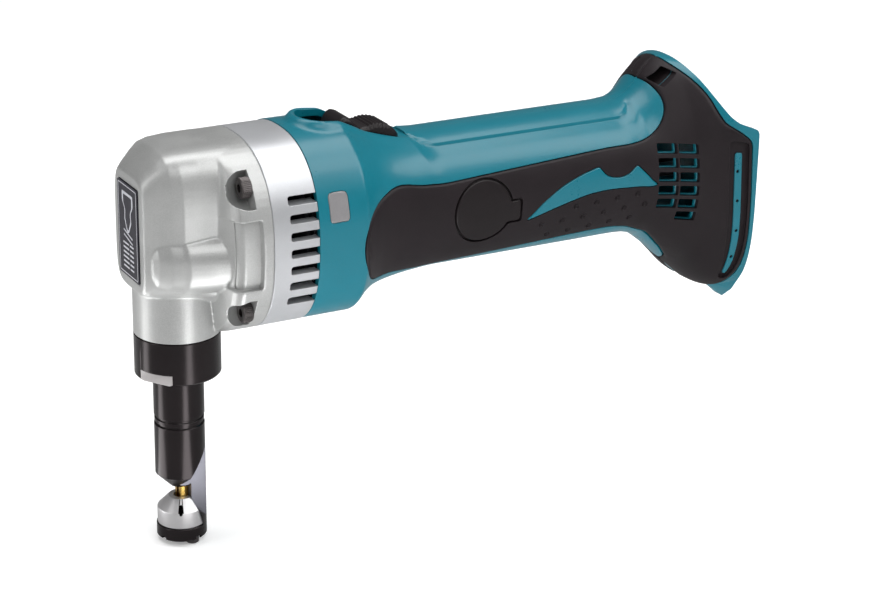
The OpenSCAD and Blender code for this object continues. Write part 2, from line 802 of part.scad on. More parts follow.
module head_screws() {
    color([0.25, 0.25, 0.27]) for (y = [-ear_y, ear_y], z = ear_z) difference() {
        union() {
            along_x(15, 19 - gap, 4, y, z);
            along_x(18, 54, 2, y, z);
        }
        translate([14, y, z]) rotate([0, 90, 0]) cylinder(r = 1.8, h = 3.2, $fn = 6);
    }
}

module shell_screws() {
    color([0.25, 0.25, 0.27]) for (p = screw_sites) let (top = skin_y(p[0], p[1]) - 1.6) difference() {
        union() {
            along_y(top - 2.3, top, 3.5, p[0], p[1]);
            along_y(-14.9, top - 2, 1.7, p[0], p[1]);
        }
        block([p[0] - 2, top - 1, p[1] - 0.4], [p[0] + 2, top + 1, p[1] + 0.4]);
        block([p[0] - 0.4, top - 1, p[1] - 2], [p[0] + 0.4, top + 1, p[1] + 2]);
    }
}

gear_housing();
nameplate();
middle_housing();
housing_left();
housing_right();
grip_left();
grip_right();
lamp_lens();
lamp_board();
brush_cover_left();
brush_cover_right();
brush_caps();
brush_holders();
brushes();
brush_springs();
switch_knob();
switch_lever();
switch_body();
controller();
terminal_block();
terminal_blades();
lead_wires();
motor_yoke();
magnets();
motor_shaft();
armature_core();
windings();
commutator();
fan();
baffle();
motor_front_bearing();
motor_rear_bearing();
countershaft();
reduction_gear();
countershaft_bushes();
gear_plate();
gear_plate_screws();
crankshaft();
crank_gear();
crank_bearings();
rod_bearing();
connecting_rod();
wrist_pin();
piston();
guide_bush();
punch();
die_holder();
die();
die_screws();
lock_nut();
head_screws();
shell_screws();
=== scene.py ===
import math
from contextlib import contextmanager

import bmesh
import bpy
import numpy as np
from mathutils import Matrix, Vector
from mathutils.geometry import delaunay_2d_cdt


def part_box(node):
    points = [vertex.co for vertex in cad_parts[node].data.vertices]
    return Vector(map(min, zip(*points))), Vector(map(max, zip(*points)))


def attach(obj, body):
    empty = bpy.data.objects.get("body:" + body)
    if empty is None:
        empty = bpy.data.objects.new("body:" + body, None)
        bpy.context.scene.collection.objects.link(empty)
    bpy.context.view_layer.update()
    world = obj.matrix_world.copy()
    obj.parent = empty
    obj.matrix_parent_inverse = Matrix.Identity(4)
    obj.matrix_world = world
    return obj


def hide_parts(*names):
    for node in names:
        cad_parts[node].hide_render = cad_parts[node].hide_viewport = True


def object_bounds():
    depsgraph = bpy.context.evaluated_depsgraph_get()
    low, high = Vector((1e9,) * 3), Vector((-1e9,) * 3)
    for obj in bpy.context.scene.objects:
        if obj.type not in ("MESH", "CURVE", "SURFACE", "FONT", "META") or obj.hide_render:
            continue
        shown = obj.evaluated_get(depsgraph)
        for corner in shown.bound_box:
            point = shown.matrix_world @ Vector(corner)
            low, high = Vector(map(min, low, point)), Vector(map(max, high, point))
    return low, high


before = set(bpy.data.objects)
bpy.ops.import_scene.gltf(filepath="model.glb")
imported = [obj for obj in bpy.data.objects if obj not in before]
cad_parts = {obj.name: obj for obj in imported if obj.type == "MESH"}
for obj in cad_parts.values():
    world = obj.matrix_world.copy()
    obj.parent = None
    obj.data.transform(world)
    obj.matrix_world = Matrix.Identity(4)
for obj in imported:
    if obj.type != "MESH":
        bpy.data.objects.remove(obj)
cad_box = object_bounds()

# Geometry is worked out in millimetres and becomes metres when a mesh is made.
# +X runs back along the handle, +Z is up, the tool's left side is -Y.
MM = 0.001


def place(node):
    """Lowest and highest corner of a CAD node, in millimetres."""
    low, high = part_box(node)
    return np.array(low) / MM, np.array(high) / MM


# ---- places taken from the frame ----

HEAD_X = place("gear_housing")[0][0]
SEAM_X = place("middle_housing")[0][0]
SHELL_X, REAR_X = place("housing_left")[0][0], place("housing_left")[1][0]
WALL = 2.6
FAR = 60.0            # past the body on every side
ABOVE = 4.0           # how far a patch that cuts stands out of the skin
NUT_H = place("lock_nut")[1][2]
NUT_R = place("lock_nut")[1][0]
TUBE_R = 10.0
MOTOR_Z = np.mean([place("motor_yoke")[0][2], place("motor_yoke")[1][2]])
LID = np.mean(place("brush_cover_left"), axis=0)
LID_R = (place("brush_cover_left")[1][0] - place("brush_cover_left")[0][0]) / 2
LENS_LOW, LENS_HIGH = place("lamp_lens")
EAR_Y = 27.0
EAR_STEP = 2.3
EAR_Z = (31.0, 81.0)


# ---- plain mesh tools: a mesh is (vertices, faces) until solid() makes it an object ----

def joined(*meshes):
    verts, faces, base = [], [], 0
    for v, f in meshes:
        v = np.asarray(v, float)
        verts.append(v)
        faces += [tuple(i + base for i in face) for face in f]
        base += len(v)
    return np.concatenate(verts), faces


def mirrored(mesh):
    verts, faces = mesh
    return np.asarray(verts) * [1, -1, 1], [tuple(reversed(f)) for f in faces]


def both_sides(mesh):
    return joined(mesh, mirrored(mesh))


def turned(mesh, degrees, axis="Z", at=(0, 0, 0)):
    m = np.array(Matrix.Rotation(math.radians(degrees), 3, axis))
    return (np.asarray(mesh[0]) - at) @ m.T + at, mesh[1]


def loft(rows):
    """Closed skin through rows of points; every row is a closed loop of the same length."""
    rows = np.asarray(rows, float)
    n, k = rows.shape[:2]
    faces = [(i * k + j, i * k + (j + 1) % k, (i + 1) * k + (j + 1) % k, (i + 1) * k + j)
             for i in range(n - 1) for j in range(k)]
    faces.append(tuple(reversed(range(k))))
    faces.append(tuple(range((n - 1) * k, n * k)))
    return rows.reshape(-1, 3), faces


def prism(outline, axis, low, high):
    """Solid whose outline is given in the two other axes, in x, y, z order."""
    outline = np.asarray(outline, float)
    rows = []
    for level in (low, high):
        row = np.empty((len(outline), 3))
        others = [i for i in range(3) if i != "xyz".index(axis)]
        row[:, others] = outline
        row[:, "xyz".index(axis)] = level
        rows.append(row)
    return loft(rows)


def block(low, high):
    (x0, y0, z0), (x1, y1, z1) = low, high
    return prism([(x0, y0), (x1, y0), (x1, y1), (x0, y1)], "z", z0, z1)


def rectangle(a0, b0, a1, b1, across_first=True):
    """Corners of a rectangle in two axes, from the low corner; the next is across or up."""
    second, last = ((a1, b0), (a0, b1)) if across_first else ((a0, b1), (a1, b0))
    return [(a0, b0), second, (a1, b1), last]


def lathe(profile, steps=96, axis="z", at=(0, 0, 0)):
    """Solid of revolution; the profile is a closed loop of (radius, height)."""
    profile = np.asarray(profile, float)
    a = np.linspace(0, 2 * np.pi, steps, endpoint=False)
    k = len(profile)
    ring = np.stack([np.outer(np.cos(a), profile[:, 0]), np.outer(np.sin(a), profile[:, 0]),
                     np.tile(profile[:, 1], (steps, 1))], axis=2)
    if axis == "x":
        ring = ring[:, :, [2, 1, 0]]
    if axis == "y":
        ring = ring[:, :, [0, 2, 1]]
    verts = ring.reshape(-1, 3) + at
    faces = [(i * k + j, ((i + 1) % steps) * k + j, ((i + 1) % steps) * k + (j + 1) % k, i * k + (j + 1) % k)
             for i in range(steps) for j in range(k)]
    return verts, faces


def rod(axis, low, high, radius, at=(0, 0, 0), bevel=0.0, steps=64):
    """Round bar along an axis, with a small bevel at both ends."""
    b = bevel
    rim = [(radius, low), (radius, high)]
    if b:
        rim = [(radius - b, low), (radius, low + b), (radius, high - b), (radius - b, high)]
    return lathe([(0, low)] + rim + [(0, high)], steps, axis, at)


def ball(centre, radius, steps=32):
    a = np.linspace(-np.pi / 2, np.pi / 2, steps // 2)
    return lathe([(radius * math.cos(t), radius * math.sin(t)) for t in a], steps, at=centre)


def rounded(points, radius, steps=6):
    """Closed outline with each corner replaced by a curve that starts radius away from it."""
    points = [np.array(p, float) for p in points]
    out = []
    for i, p in enumerate(points):
        r = radius[i] if isinstance(radius, (list, tuple)) else radius
        before, after = points[i - 1] - p, points[(i + 1) % len(points)] - p
        a = p + before * min(0.48, r / max(np.linalg.norm(before), 1e-9))
        b = p + after * min(0.48, r / max(np.linalg.norm(after), 1e-9))
        for t in np.linspace(0, 1, steps):
            out.append((1 - t) ** 2 * a + 2 * t * (1 - t) * p + t * t * b)
    return np.array(out)


@contextmanager
def edited(obj):
    bm = bmesh.new()
    bm.from_mesh(obj.data)
    yield bm
    bm.to_mesh(obj.data)
    bm.free()


def clean(obj, merge=1e-6):
    with edited(obj) as bm:
        bmesh.ops.remove_doubles(bm, verts=bm.verts, dist=merge)
        bmesh.ops.dissolve_degenerate(bm, edges=bm.edges, dist=merge / 10)
        bmesh.ops.recalc_face_normals(bm, faces=bm.faces)


def solid(name, mesh):
    data = bpy.data.meshes.new(name)
    data.from_pydata((np.asarray(mesh[0]) * MM).tolist(), [], mesh[1])
    obj = bpy.data.objects.new(name, data)
    bpy.context.scene.collection.objects.link(obj)
    clean(obj)
    return obj


def bake(obj):
    """Applies the object's modifiers to its mesh."""
    deps = bpy.context.evaluated_depsgraph_get()
    data = bpy.data.meshes.new_from_object(obj.evaluated_get(deps))
    obj.modifiers.clear()
    obj.data = data


def combined(obj, tools, operation):
    for tool in tools:
        tool = tool if isinstance(tool, bpy.types.Object) else solid("tool", tool)
        modifier = obj.modifiers.new("solid", "BOOLEAN")
        modifier.operation, modifier.object, modifier.solver = operation, tool, "MANIFOLD"
        bake(obj)
        bpy.data.objects.remove(tool)
    return obj


def cut(obj, *tools):
    return combined(obj, tools, "DIFFERENCE")


def add(obj, *tools):
    return combined(obj, tools, "UNION")


def keep(obj, *tools):
    return combined(obj, tools, "INTERSECT")


def shade(obj, degrees=32):
    """Smooth shading with sharp edges where faces meet at more than this angle."""
    with edited(obj) as bm:
        bmesh.ops.dissolve_degenerate(bm, edges=bm.edges, dist=1e-7)
        for face in bm.faces:
            face.smooth = True
        for edge in bm.edges:
            edge.smooth = len(edge.link_faces) == 2 and edge.calc_face_angle(0) < math.radians(degrees)


def piece(obj, body, material, replaced=(), degrees=32):
    """Finishes a piece: shading, material, body and the CAD nodes it stands for."""
    shade(obj, degrees)
    obj.data.materials.clear()
    obj.data.materials.append(material)
    obj.data.polygons.foreach_set("material_index", [0] * len(obj.data.polygons))
    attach(obj, body)
    weighted = obj.modifiers.new("normals", "WEIGHTED_NORMAL")
    weighted.keep_sharp = True
    if replaced:
        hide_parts(*replaced)
    return obj


# ---- materials ----

def ranged(tree, value, source, target):
    """Value moved from one range to another."""
    node = tree.nodes.new("ShaderNodeMapRange")
    node.inputs["From Min"].default_value, node.inputs["From Max"].default_value = source
    node.inputs["To Min"].default_value, node.inputs["To Max"].default_value = target
    tree.links.new(value, node.inputs["Value"])
    return node.outputs["Result"]


def material(name, color, rough, metal=0.0, grain=0.5, bump=0.01, vary=0.08, rough_vary=0.025,
             edge=0.0, wear_and_highlight_color=None, bevel=0.0, coat=0.0, streak=None, extra=None):
    """Surface with colour and roughness that drift, a fine grain in mm, and lighter edges that are partly
    wear and partly a painted highlight.

    streak stretches the grain along one axis, as turning or brushing does."""
    m = bpy.data.materials.new(name)
    m.use_nodes = True
    tree = m.node_tree
    nodes, links = tree.nodes, tree.links
    shader = nodes["Principled BSDF"]
    shader.inputs["Metallic"].default_value = metal
    shader.inputs["Coat Weight"].default_value = coat
    shader.inputs["Coat Roughness"].default_value = 0.12
    for key, value in (extra or {}).items():
        shader.inputs[key].default_value = value

    coords = nodes.new("ShaderNodeTexCoord")
    mapping = nodes.new("ShaderNodeMapping")
    mapping.inputs["Scale"].default_value = streak or (1, 1, 1)
    links.new(coords.outputs["Object"], mapping.inputs["Vector"])

    def noise(scale_mm, detail, source):
        n = nodes.new("ShaderNodeTexNoise")
        n.inputs["Scale"].default_value = 1 / (scale_mm * MM)
        n.inputs["Detail"].default_value = detail
        links.new(source, n.inputs["Vector"])
        return n.outputs["Fac"]

    def spread(value, low, high):
        return ranged(tree, value, (0.3, 0.7), (low, high))

    def mixed(factor, a, b):
        n = nodes.new("ShaderNodeMix")
        n.data_type = "RGBA"
        for socket, value in ((n.inputs[6], a), (n.inputs[7], b)):
            if isinstance(value, tuple):
                socket.default_value = (*value, 1)
            else:
                links.new(value, socket)
        links.new(factor, n.inputs[0])
        return n.outputs[2]

    drift = noise(22, 3, coords.outputs["Object"])
    fine = noise(grain, 4, mapping.outputs["Vector"])
    dark, light = (tuple(min(1, c * f) for c in color) for f in (1 - vary, 1 + vary))
    base = mixed(spread(drift, 0, 1), dark, light)
    speckle = tuple(min(1, c * (1 + 1.6 * vary)) for c in color)
    base = mixed(spread(fine, 0, 0.55), base, speckle)

    total = nodes.new("ShaderNodeMath")
    links.new(spread(drift, rough - rough_vary, rough + rough_vary), total.inputs[0])
    links.new(spread(fine, -rough_vary / 2, rough_vary / 2), total.inputs[1])
    links.new(total.outputs[0], shader.inputs["Roughness"])

    bump_node = nodes.new("ShaderNodeBump")
    bump_node.inputs["Strength"].default_value = 1.0
    bump_node.inputs["Distance"].default_value = bump * MM
    links.new(fine, bump_node.inputs["Height"])
    if bevel:
        round_edge = nodes.new("ShaderNodeBevel")
        round_edge.samples = 4
        round_edge.inputs["Radius"].default_value = bevel * MM
        links.new(round_edge.outputs["Normal"], bump_node.inputs["Normal"])
        if edge:
            geometry = nodes.new("ShaderNodeNewGeometry")
            dot = nodes.new("ShaderNodeVectorMath")
            dot.operation = "DOT_PRODUCT"
            links.new(geometry.outputs["Normal"], dot.inputs[0])
            links.new(round_edge.outputs["Normal"], dot.inputs[1])
            # edges get a lighter colour: partly wear, partly a painted highlight along the edges
            wear_and_highlight = ranged(tree, dot.outputs["Value"], (0.97, 0.80), (0, edge))
            base = mixed(wear_and_highlight, base, wear_and_highlight_color or speckle)
    links.new(bump_node.outputs["Normal"], shader.inputs["Normal"])
    links.new(base, shader.inputs["Base Color"])
    return m


# each edge colour is lighter than its surface: partly wear, partly a painted highlight on the edges
M = {
    "cast": material("cast_silver", (0.43, 0.435, 0.43), 0.38, 0.55, bump=0.03, vary=0.14,
                     bevel=0.5, edge=0.35, wear_and_highlight_color=(0.75, 0.76, 0.75)),
    "ring": material("ring_silver", (0.56, 0.57, 0.59), 0.34, 0.6, grain=0.45, bump=0.008, vary=0.05,
                     bevel=0.3, edge=0.3, wear_and_highlight_color=(0.85, 0.85, 0.86)),
    "teal": material("teal_plastic", (0.0, 0.140, 0.190), 0.30, grain=0.7, bump=0.006, vary=0.05,
                     bevel=0.35, edge=0.35, wear_and_highlight_color=(0.03, 0.33, 0.40), coat=0.15),
    "rubber": material("grip_rubber", (0.012, 0.008, 0.010), 0.5, grain=0.42, bump=0.022, vary=0.16,
                       bevel=0.4, edge=0.4, wear_and_highlight_color=(0.05, 0.04, 0.045),
                       extra={"Specular IOR Level": 0.3}),
    "black": material("black_plastic", (0.010, 0.007, 0.008), 0.42, bump=0.015, vary=0.15,
                      bevel=0.3, edge=0.4, wear_and_highlight_color=(0.07, 0.065, 0.065),
                      extra={"Specular IOR Level": 0.32}),
    "black_steel": material("blackened_steel", (0.020, 0.016, 0.017), 0.22, 0.7, bump=0.004,
                            vary=0.2, streak=(1, 1, 14), bevel=0.3, edge=0.6, wear_and_highlight_color=(0.16, 0.15, 0.15)),
    "milled": material("milled_steel", (0.20, 0.20, 0.23), 0.38, 0.8, grain=0.6, bump=0.006, vary=0.12,
                       streak=(1, 1, 9), bevel=0.2),
    "bare": material("bare_steel", (0.42, 0.40, 0.40), 0.42, 0.7, grain=0.4, bump=0.01, vary=0.14,
                     streak=(1, 1, 7), bevel=0.2),
    "bright": material("bright_steel", (0.68, 0.67, 0.68), 0.36, 0.8, bump=0.004, vary=0.06,
                       streak=(1, 1, 10), bevel=0.25, edge=0.4, wear_and_highlight_color=(0.95, 0.95, 0.95)),
    "gold": material("gold_coating", (0.80, 0.52, 0.14), 0.24, 1.0, grain=0.4, bump=0.003, vary=0.1),
    "lens": material("lamp_lens", (0.20, 0.195, 0.20), 0.16, grain=0.9, bump=0.004, vary=0.12,
                     coat=0.5, extra={"Subsurface Weight": 0.25, "Subsurface Radius": (0.002, 0.002, 0.002)}),
    "screw": material("screw_steel", (0.10, 0.09, 0.09), 0.34, 0.85, grain=0.4, bump=0.008, vary=0.2,
                      bevel=0.2, edge=0.6, wear_and_highlight_color=(0.4, 0.38, 0.36)),
    "plate": material("name_plate", (0.014, 0.013, 0.022), 0.36, 0.1, bump=0.004, vary=0.12,
                      bevel=0.15),
    "plate_print": material("plate_print", (0.55, 0.56, 0.60), 0.4, 0.3, bump=0.004, vary=0.06),
}


# ---- the body's outer surface ----

def smooth_curve(points):
    """Monotone cubic through (x, value) points."""
    xs, ys = np.array(points, float).T
    h = np.diff(xs)
    d = np.diff(ys) / h
    m = np.zeros(len(xs))
    for i in range(1, len(xs) - 1):
        if d[i - 1] * d[i] > 0:
            a, b = 2 * h[i] + h[i - 1], h[i] + 2 * h[i - 1]
            m[i] = (a + b) / (a / d[i - 1] + b / d[i])
    m[0], m[-1] = d[0], d[-1]

    def at(x):
        i = int(np.clip(np.searchsorted(xs, x, side="right") - 1, 0, len(h) - 1))
        t = (min(max(x, xs[0]), xs[-1]) - xs[i]) / h[i]
        return ((1 + 2 * t) * (1 - t) ** 2 * ys[i] + t * (1 - t) ** 2 * h[i] * m[i]
                + t * t * (3 - 2 * t) * ys[i + 1] + t * t * (t - 1) * h[i] * m[i + 1])
    return at


SHOULDER_X = 65.3
half_width = smooth_curve([(44, 37), (64.6, 37), (SHOULDER_X, 36.6), (70, 33.2), (76, 29.8), (84, 27.2),
                           (94, 25.7), (108, 25), (196, 25), (202, 25.8), (208, 28), (214, 31.2),
                           (220, 34.4), (227, 36.8), (235, 37.8), (246, 38)])
top_line = smooth_curve([(44, 94.8), (64.6, 94.8), (70, 93.4), (78, 90.2), (88, 87.4), (98, 85.6),
                         (108, 84.8), (190, 84.8), (197, 85.3), (202, 87.2), (206, 90.4), (210, 95),
                         (213.5, 98.8), (217, 101.1), (221, 101.8), (246, 100.2)])
bottom_line = smooth_curve([(44, 17.6), (64.6, 17.6), (SHOULDER_X, 17.9), (70, 21.2), (78, 24.8),
                            (88, 26.7), (98, 27.8), (108, 28.4), (190, 28.4), (198, 28), (205, 26.2),
                            (211, 22.4), (218, 16.8), (226, 9.4), (234, 2.4), (240, -0.6), (246, -1.8)])
middle_line = smooth_curve([(44, 56.2), (64, 56.2), (78, 57.5), (108, 56.6), (196, 56.6), (204, 55),
                            (217, 52.5), (246, 50.8)])
top_power = smooth_curve([(44, 2.4), (64, 2.4), (78, 2.3), (196, 2.2), (204, 1.95), (214, 1.85),
                          (219, 1.97), (223, 2.4), (227, 3), (233, 4.6), (246, 5.2)])
bottom_power = smooth_curve([(44, 2.4), (64, 2.4), (78, 2.3), (200, 2.2), (212, 1.95), (224, 1.95),
                             (231, 2.4), (237, 2.9), (246, 3.2)])

BEZEL_X, BEZEL_R = 60.5, 10.2


def step(value):
    t = np.clip(value, 0, 1)
    return t * t * (3 - 2 * t)


def bezel_rise(x, y):
    """Collar round the front of the switch, fading out along the deck."""
    reach = np.hypot(min(x - BEZEL_X, 0), y)
    off = reach - BEZEL_R
    crest = 2.3 * (1 - step((x - 54) / 24)) + 0.5 * (1 - step((x - 80) / 18))
    spread = np.where(off > 0, 2.1, 3.0)
    return crest * np.exp(-(off / spread) ** 2)


def ridge_rise(x, y):
    """Low step on both sides of the flat strip along the top of the handle."""
    end = math.sqrt(max(0, 1 - ((min(x, 106) - 106) / 9) ** 2)) if x > 97 else 0
    end *= math.sqrt(max(0, 1 - ((max(x, 192) - 192) / 9) ** 2)) if x < 201 else 0
    half = 12.8 * end
    return -1.1 * end ** 0.5 * step((np.abs(y) - half + 0.6) / 1.3) * (1 - step((np.abs(y) - half) / 11))


class Skin:
    """Outer surface of the left half: x along, v from the top line (0) to the bottom line (1)."""

    def __init__(self, xs, columns=221):
        self.xs = np.array(xs)
        rows, lengths = [], []
        a = np.linspace(0, np.pi, 1201)
        for x in xs:
            w, m = half_width(x), middle_line(x)
            up = np.cos(a) > 0
            n = np.where(up, top_power(x), bottom_power(x))
            h = np.where(up, top_line(x) - m, m - bottom_line(x))
            y = -w * np.abs(np.sin(a)) ** (2 / n)
            z = m + h * np.sign(np.cos(a)) * np.abs(np.cos(a)) ** (2 / n)
            rise = np.where(up, bezel_rise(x, y) * (x < 99) + ridge_rise(x, y), 0)
            ny, nz = np.gradient(z), -np.gradient(y)
            size = np.hypot(ny, nz) + 1e-12
            y, z = y + rise * ny / size, z + rise * nz / size
            y[0] = y[-1] = 0
            arc = np.concatenate([[0], np.cumsum(np.hypot(np.diff(y), np.diff(z)))])
            even = np.linspace(0, arc[-1], columns)
            rows.append(np.stack([np.interp(even, arc, y), np.interp(even, arc, z)], axis=1))
            lengths.append(arc[-1])
        self.rows, self.lengths = np.array(rows), np.array(lengths)

    def length(self, x):
        return np.interp(x, self.xs, self.lengths)

    def point(self, x, v):
        x, v = np.broadcast_arrays(np.asarray(x, float), np.clip(v, 0, 1))
        i = np.clip(np.searchsorted(self.xs, x, side="right") - 1, 0, len(self.xs) - 2)
        t = np.clip((x - self.xs[i]) / (self.xs[i + 1] - self.xs[i]), 0, 1)[..., None]
        c = v * (self.rows.shape[1] - 1)
        j = np.clip(c.astype(int), 0, self.rows.shape[1] - 2)
        s = (c - j)[..., None]
        r = self.rows
        yz = ((1 - t) * ((1 - s) * r[i, j] + s * r[i, j + 1])
              + t * ((1 - s) * r[i + 1, j] + s * r[i + 1, j + 1]))
        return np.concatenate([x[..., None], yz], axis=-1)

    def normal(self, x, v):
        dx, dv = 0.5, 0.008
        lo, hi = self.xs[0], self.xs[-1]
        v = np.asarray(v)
        along = self.point(np.clip(x + dx, lo, hi), v) - self.point(np.clip(x - dx, lo, hi), v)
        down = self.point(x, np.clip(v + dv, 0, 1)) - self.point(x, np.clip(v - dv, 0, 1))
        n = np.cross(down, along)
        edge = (v < 1e-6) | (v > 1 - 1e-6)
        n[..., 1] = np.where(edge, 0, n[..., 1])
        return n / (np.linalg.norm(n, axis=-1, keepdims=True) + 1e-12)

    def offset(self, x, v, out):
        n = self.normal(x, v)
        p = self.point(x, v) + n * np.asarray(out)[..., None]
        p[..., 1] = np.minimum(p[..., 1], -0.03)
        return p

    def v_at_z(self, x, z):
        v = np.linspace(0, 1, 1201)
        column = np.minimum.accumulate(self.point(np.full_like(v, x), v)[:, 2])
        return float(np.interp(-z, -column, v))

    def v_at_top_y(self, x, y):
        v = np.linspace(0, 0.5, 801)
        column = np.maximum.accumulate(-self.point(np.full_like(v, x), v)[:, 1])
        return float(np.interp(abs(y), column, v))


skin = Skin(np.unique(np.concatenate([np.arange(44, 100, 0.5), np.arange(100, 188, 1.0),
                                      np.arange(188, 246.01, 0.5), [SHOULDER_X]])))


def outline_on_skin(points, radius):
    """Outline in (x, arc length) from points (x, z), or (x, y, "top") near the top line."""
    flat = []
    for p in points:
        v = skin.v_at_top_y(p[0], p[1]) if len(p) == 3 else skin.v_at_z(*p)
        flat.append((p[0], v * skin.length(p[0])))
    return rounded(flat, radius)


def spaced(outline, gap):
    """The closed outline with points about gap apart."""
    loop = np.vstack([outline, outline[:1]])
    run = np.concatenate([[0], np.cumsum(np.linalg.norm(np.diff(loop, axis=0), axis=1))])
    count = max(12, int(run[-1] / gap))
    at = np.linspace(0, run[-1], count, endpoint=False)
    return np.stack([np.interp(at, run, loop[:, 0]), np.interp(at, run, loop[:, 1])], axis=1)


def inside(points, loop):
    x, y = points[:, 0][:, None], points[:, 1][:, None]
    a, b = loop, np.roll(loop, -1, axis=0)
    crosses = (a[:, 1] > y) != (b[:, 1] > y)
    at = (b[:, 0] - a[:, 0]) * (y - a[:, 1]) / (b[:, 1] - a[:, 1] + 1e-12) + a[:, 0]
    return (crosses & (x < at)).sum(axis=1) % 2 == 1


def distance(points, loop):
    a, b = loop, np.roll(loop, -1, axis=0)
    d = b - a
    best = np.full(len(points), 1e9)
    for start, run in zip(a, d):
        t = np.clip(((points - start) @ run) / (run @ run + 1e-12), 0, 1)
        best = np.minimum(best, np.linalg.norm(points - start - t[:, None] * run, axis=1))
    return best


def moved_out(loop, amount):
    """Each point of the loop moved outward, or inward where amount is negative."""
    ahead, behind = np.roll(loop, -1, axis=0), np.roll(loop, 1, axis=0)
    t = ahead - behind
    n = np.stack([t[:, 1], -t[:, 0]], axis=1) / (np.linalg.norm(t, axis=1, keepdims=True) + 1e-12)
    area = 0.5 * np.sum(loop[:, 0] * ahead[:, 1] - ahead[:, 0] * loop[:, 1])
    return loop + n * amount * np.sign(area)


def grown(outline, amount):
    return moved_out(spaced(outline, 0.8), amount)


def patch(outline, lift, depth, lip=0.0, gap=1.6, open_edges=True):
    """Solid that lies on the skin inside an outline: its top is lift above the skin, its
    bottom depth below it, and its rim is rounded over lip. An edge on the top or bottom
    line of the body is not rounded, because the other half carries on there."""
    loop = spaced(outline, min(gap, 1.2))
    shares = (0.12, 0.35, 0.7, 1.0) if lip else ()
    rings = [moved_out(loop, -lip * share) for share in shares]
    low, high = loop.min(axis=0), loop.max(axis=0)
    gx, gy = np.meshgrid(np.arange(low[0], high[0], gap), np.arange(low[1], high[1], gap))
    gx[1::2] += gap / 2
    grid = np.stack([gx.ravel(), gy.ravel()], axis=1)
    grid = grid[inside(grid, loop)]
    grid = grid[distance(grid, loop) > lip + 0.6 * gap]
    inner = [ring[inside(ring, loop) & (distance(ring, loop) > 0.6 * share * lip)]
             for ring, share in zip(rings, shares)]
    points = np.vstack([loop] + inner + [grid])
    edges = [(i, (i + 1) % len(loop)) for i in range(len(loop))]
    verts, _, faces, _, _, _ = delaunay_2d_cdt([Vector(p) for p in points], edges, [], 1, 1e-5)
    flat = np.array([tuple(v) for v in verts])
    centres = np.array([flat[list(f)].mean(axis=0) for f in faces])
    faces = [f for f, within in zip(faces, inside(centres, loop)) if within]
    x = flat[:, 0]
    v = np.clip(flat[:, 1] / skin.length(x), 0, 1)
    rim = distance(flat, loop)
    if open_edges:
        rim = np.where((v < 0.004) | (v > 0.996), lip + 1, rim)
    near = np.clip(lip - rim, 0, lip)
    drop = lip - np.sqrt(np.maximum(lip * lip - near * near, 0))
    top = skin.offset(x, v, lift - drop)
    bottom = skin.offset(x, v, np.full(len(x), -depth))
    n = len(flat)
    runs = {pair: None for f in faces for pair in zip(f, list(f[1:]) + list(f[:1]))}
    walls = [(b, a, a + n, b + n) for a, b in runs if (b, a) not in runs]
    under = [tuple(i + n for i in reversed(f)) for f in faces]
    return np.vstack([top, bottom]), [tuple(f) for f in faces] + under + walls


# ---- outlines on the left flank: (x, z), or (x, y, "top") ----

BOTTOM = -60      # below the body, so the outline ends on the bottom line
GRIP = outline_on_skin(
    [(84, 72.3), (75, 69.8), (67, 64.8), (63, 55.5), (63.6, 46.5), (67.5, 38), (74, 34), (82, 34.4),
     (165, 36.2), (184, 36.8), (191, 36), (197, 34.4), (204.5, 31.4), (209, 27.8), (213, 23.8), (217.4, 19.4),
     (221.5, 14.8), (224.5, BOTTOM), (235, BOTTOM), (240.6, 6), (243.4, 14), (244.1, 26), (243.7, 50),
     (242.8, 71.2), (239, 74.2), (230.5, 78.7), (227.6, 84.2), (225.8, 90), (223.4, 94.8), (221, 14.5, "top"),
     (218.9, 7.6, "top"), (217.8, 0, "top"), (208.4, 0, "top"), (208.9, 4, "top"), (209.8, 9.3, "top"),
     (210.9, 89), (210.9, 85.6), (209.6, 81.6), (206.6, 77.3), (202.6, 74.4), (197, 72.7), (182, 72.3)],
    [6, 8, 9, 9, 9, 9, 8, 5, 8] + [4] * 8 + [0.5, 0.5, 4, 4, 5, 5, 3] + [4] * 5 + [3, 3, 0.3, 0.3] + [3] * 7
    + [4, 4])
FLASH = outline_on_skin(
    [(142.4, 47.6), (150, 54.4), (158.5, 60), (168, 63.6), (176.6, 65.6), (179.8, 61.3), (185.9, 59.7),
     (190.9, 60.6), (194.9, 64), (199, 60.2), (204.4, 54.9), (196.6, 54.8), (183.4, 55.6), (172, 55.2),
     (158, 52)],
    [0.6, 3, 4, 4, 0.8, 2.5, 2.5, 2.5, 0.8, 3, 0.6, 4, 6, 6, 6])
LENS = outline_on_skin(
    [(LENS_LOW[0], LENS_LOW[2]), (LENS_LOW[0] - 0.2, LENS_HIGH[2]), (LENS_HIGH[0] - 0.2, LENS_HIGH[2]),
     (LENS_HIGH[0], LENS_LOW[2])], 1.6)
REAR_CHANNEL = outline_on_skin(
    [(231.4, 72.6), (241, 70.8), (242, 48), (242.3, 26), (241.4, 15), (239.4, 8), (236.6, 8.6), (234.8, 19),
     (233.4, 31), (232, 50)],
    [1.5, 1.5, 4, 4, 4, 2, 2, 4, 4, 4])
REAR_STRIP = outline_on_skin(
    [(234.6, 67.2), (238, 66.8), (238.8, 48), (239.6, 30), (239.3, 17), (238.5, 10.4), (237, 11), (236.6, 17),
     (236.3, 28), (235.3, 48)],
    [0.5, 0.5, 4, 4, 4, 0.8, 0.8, 4, 4, 4])
STRIP_DOTS = ((236.3, 59), (237.1, 46), (238, 32.5), (238.2, 20))


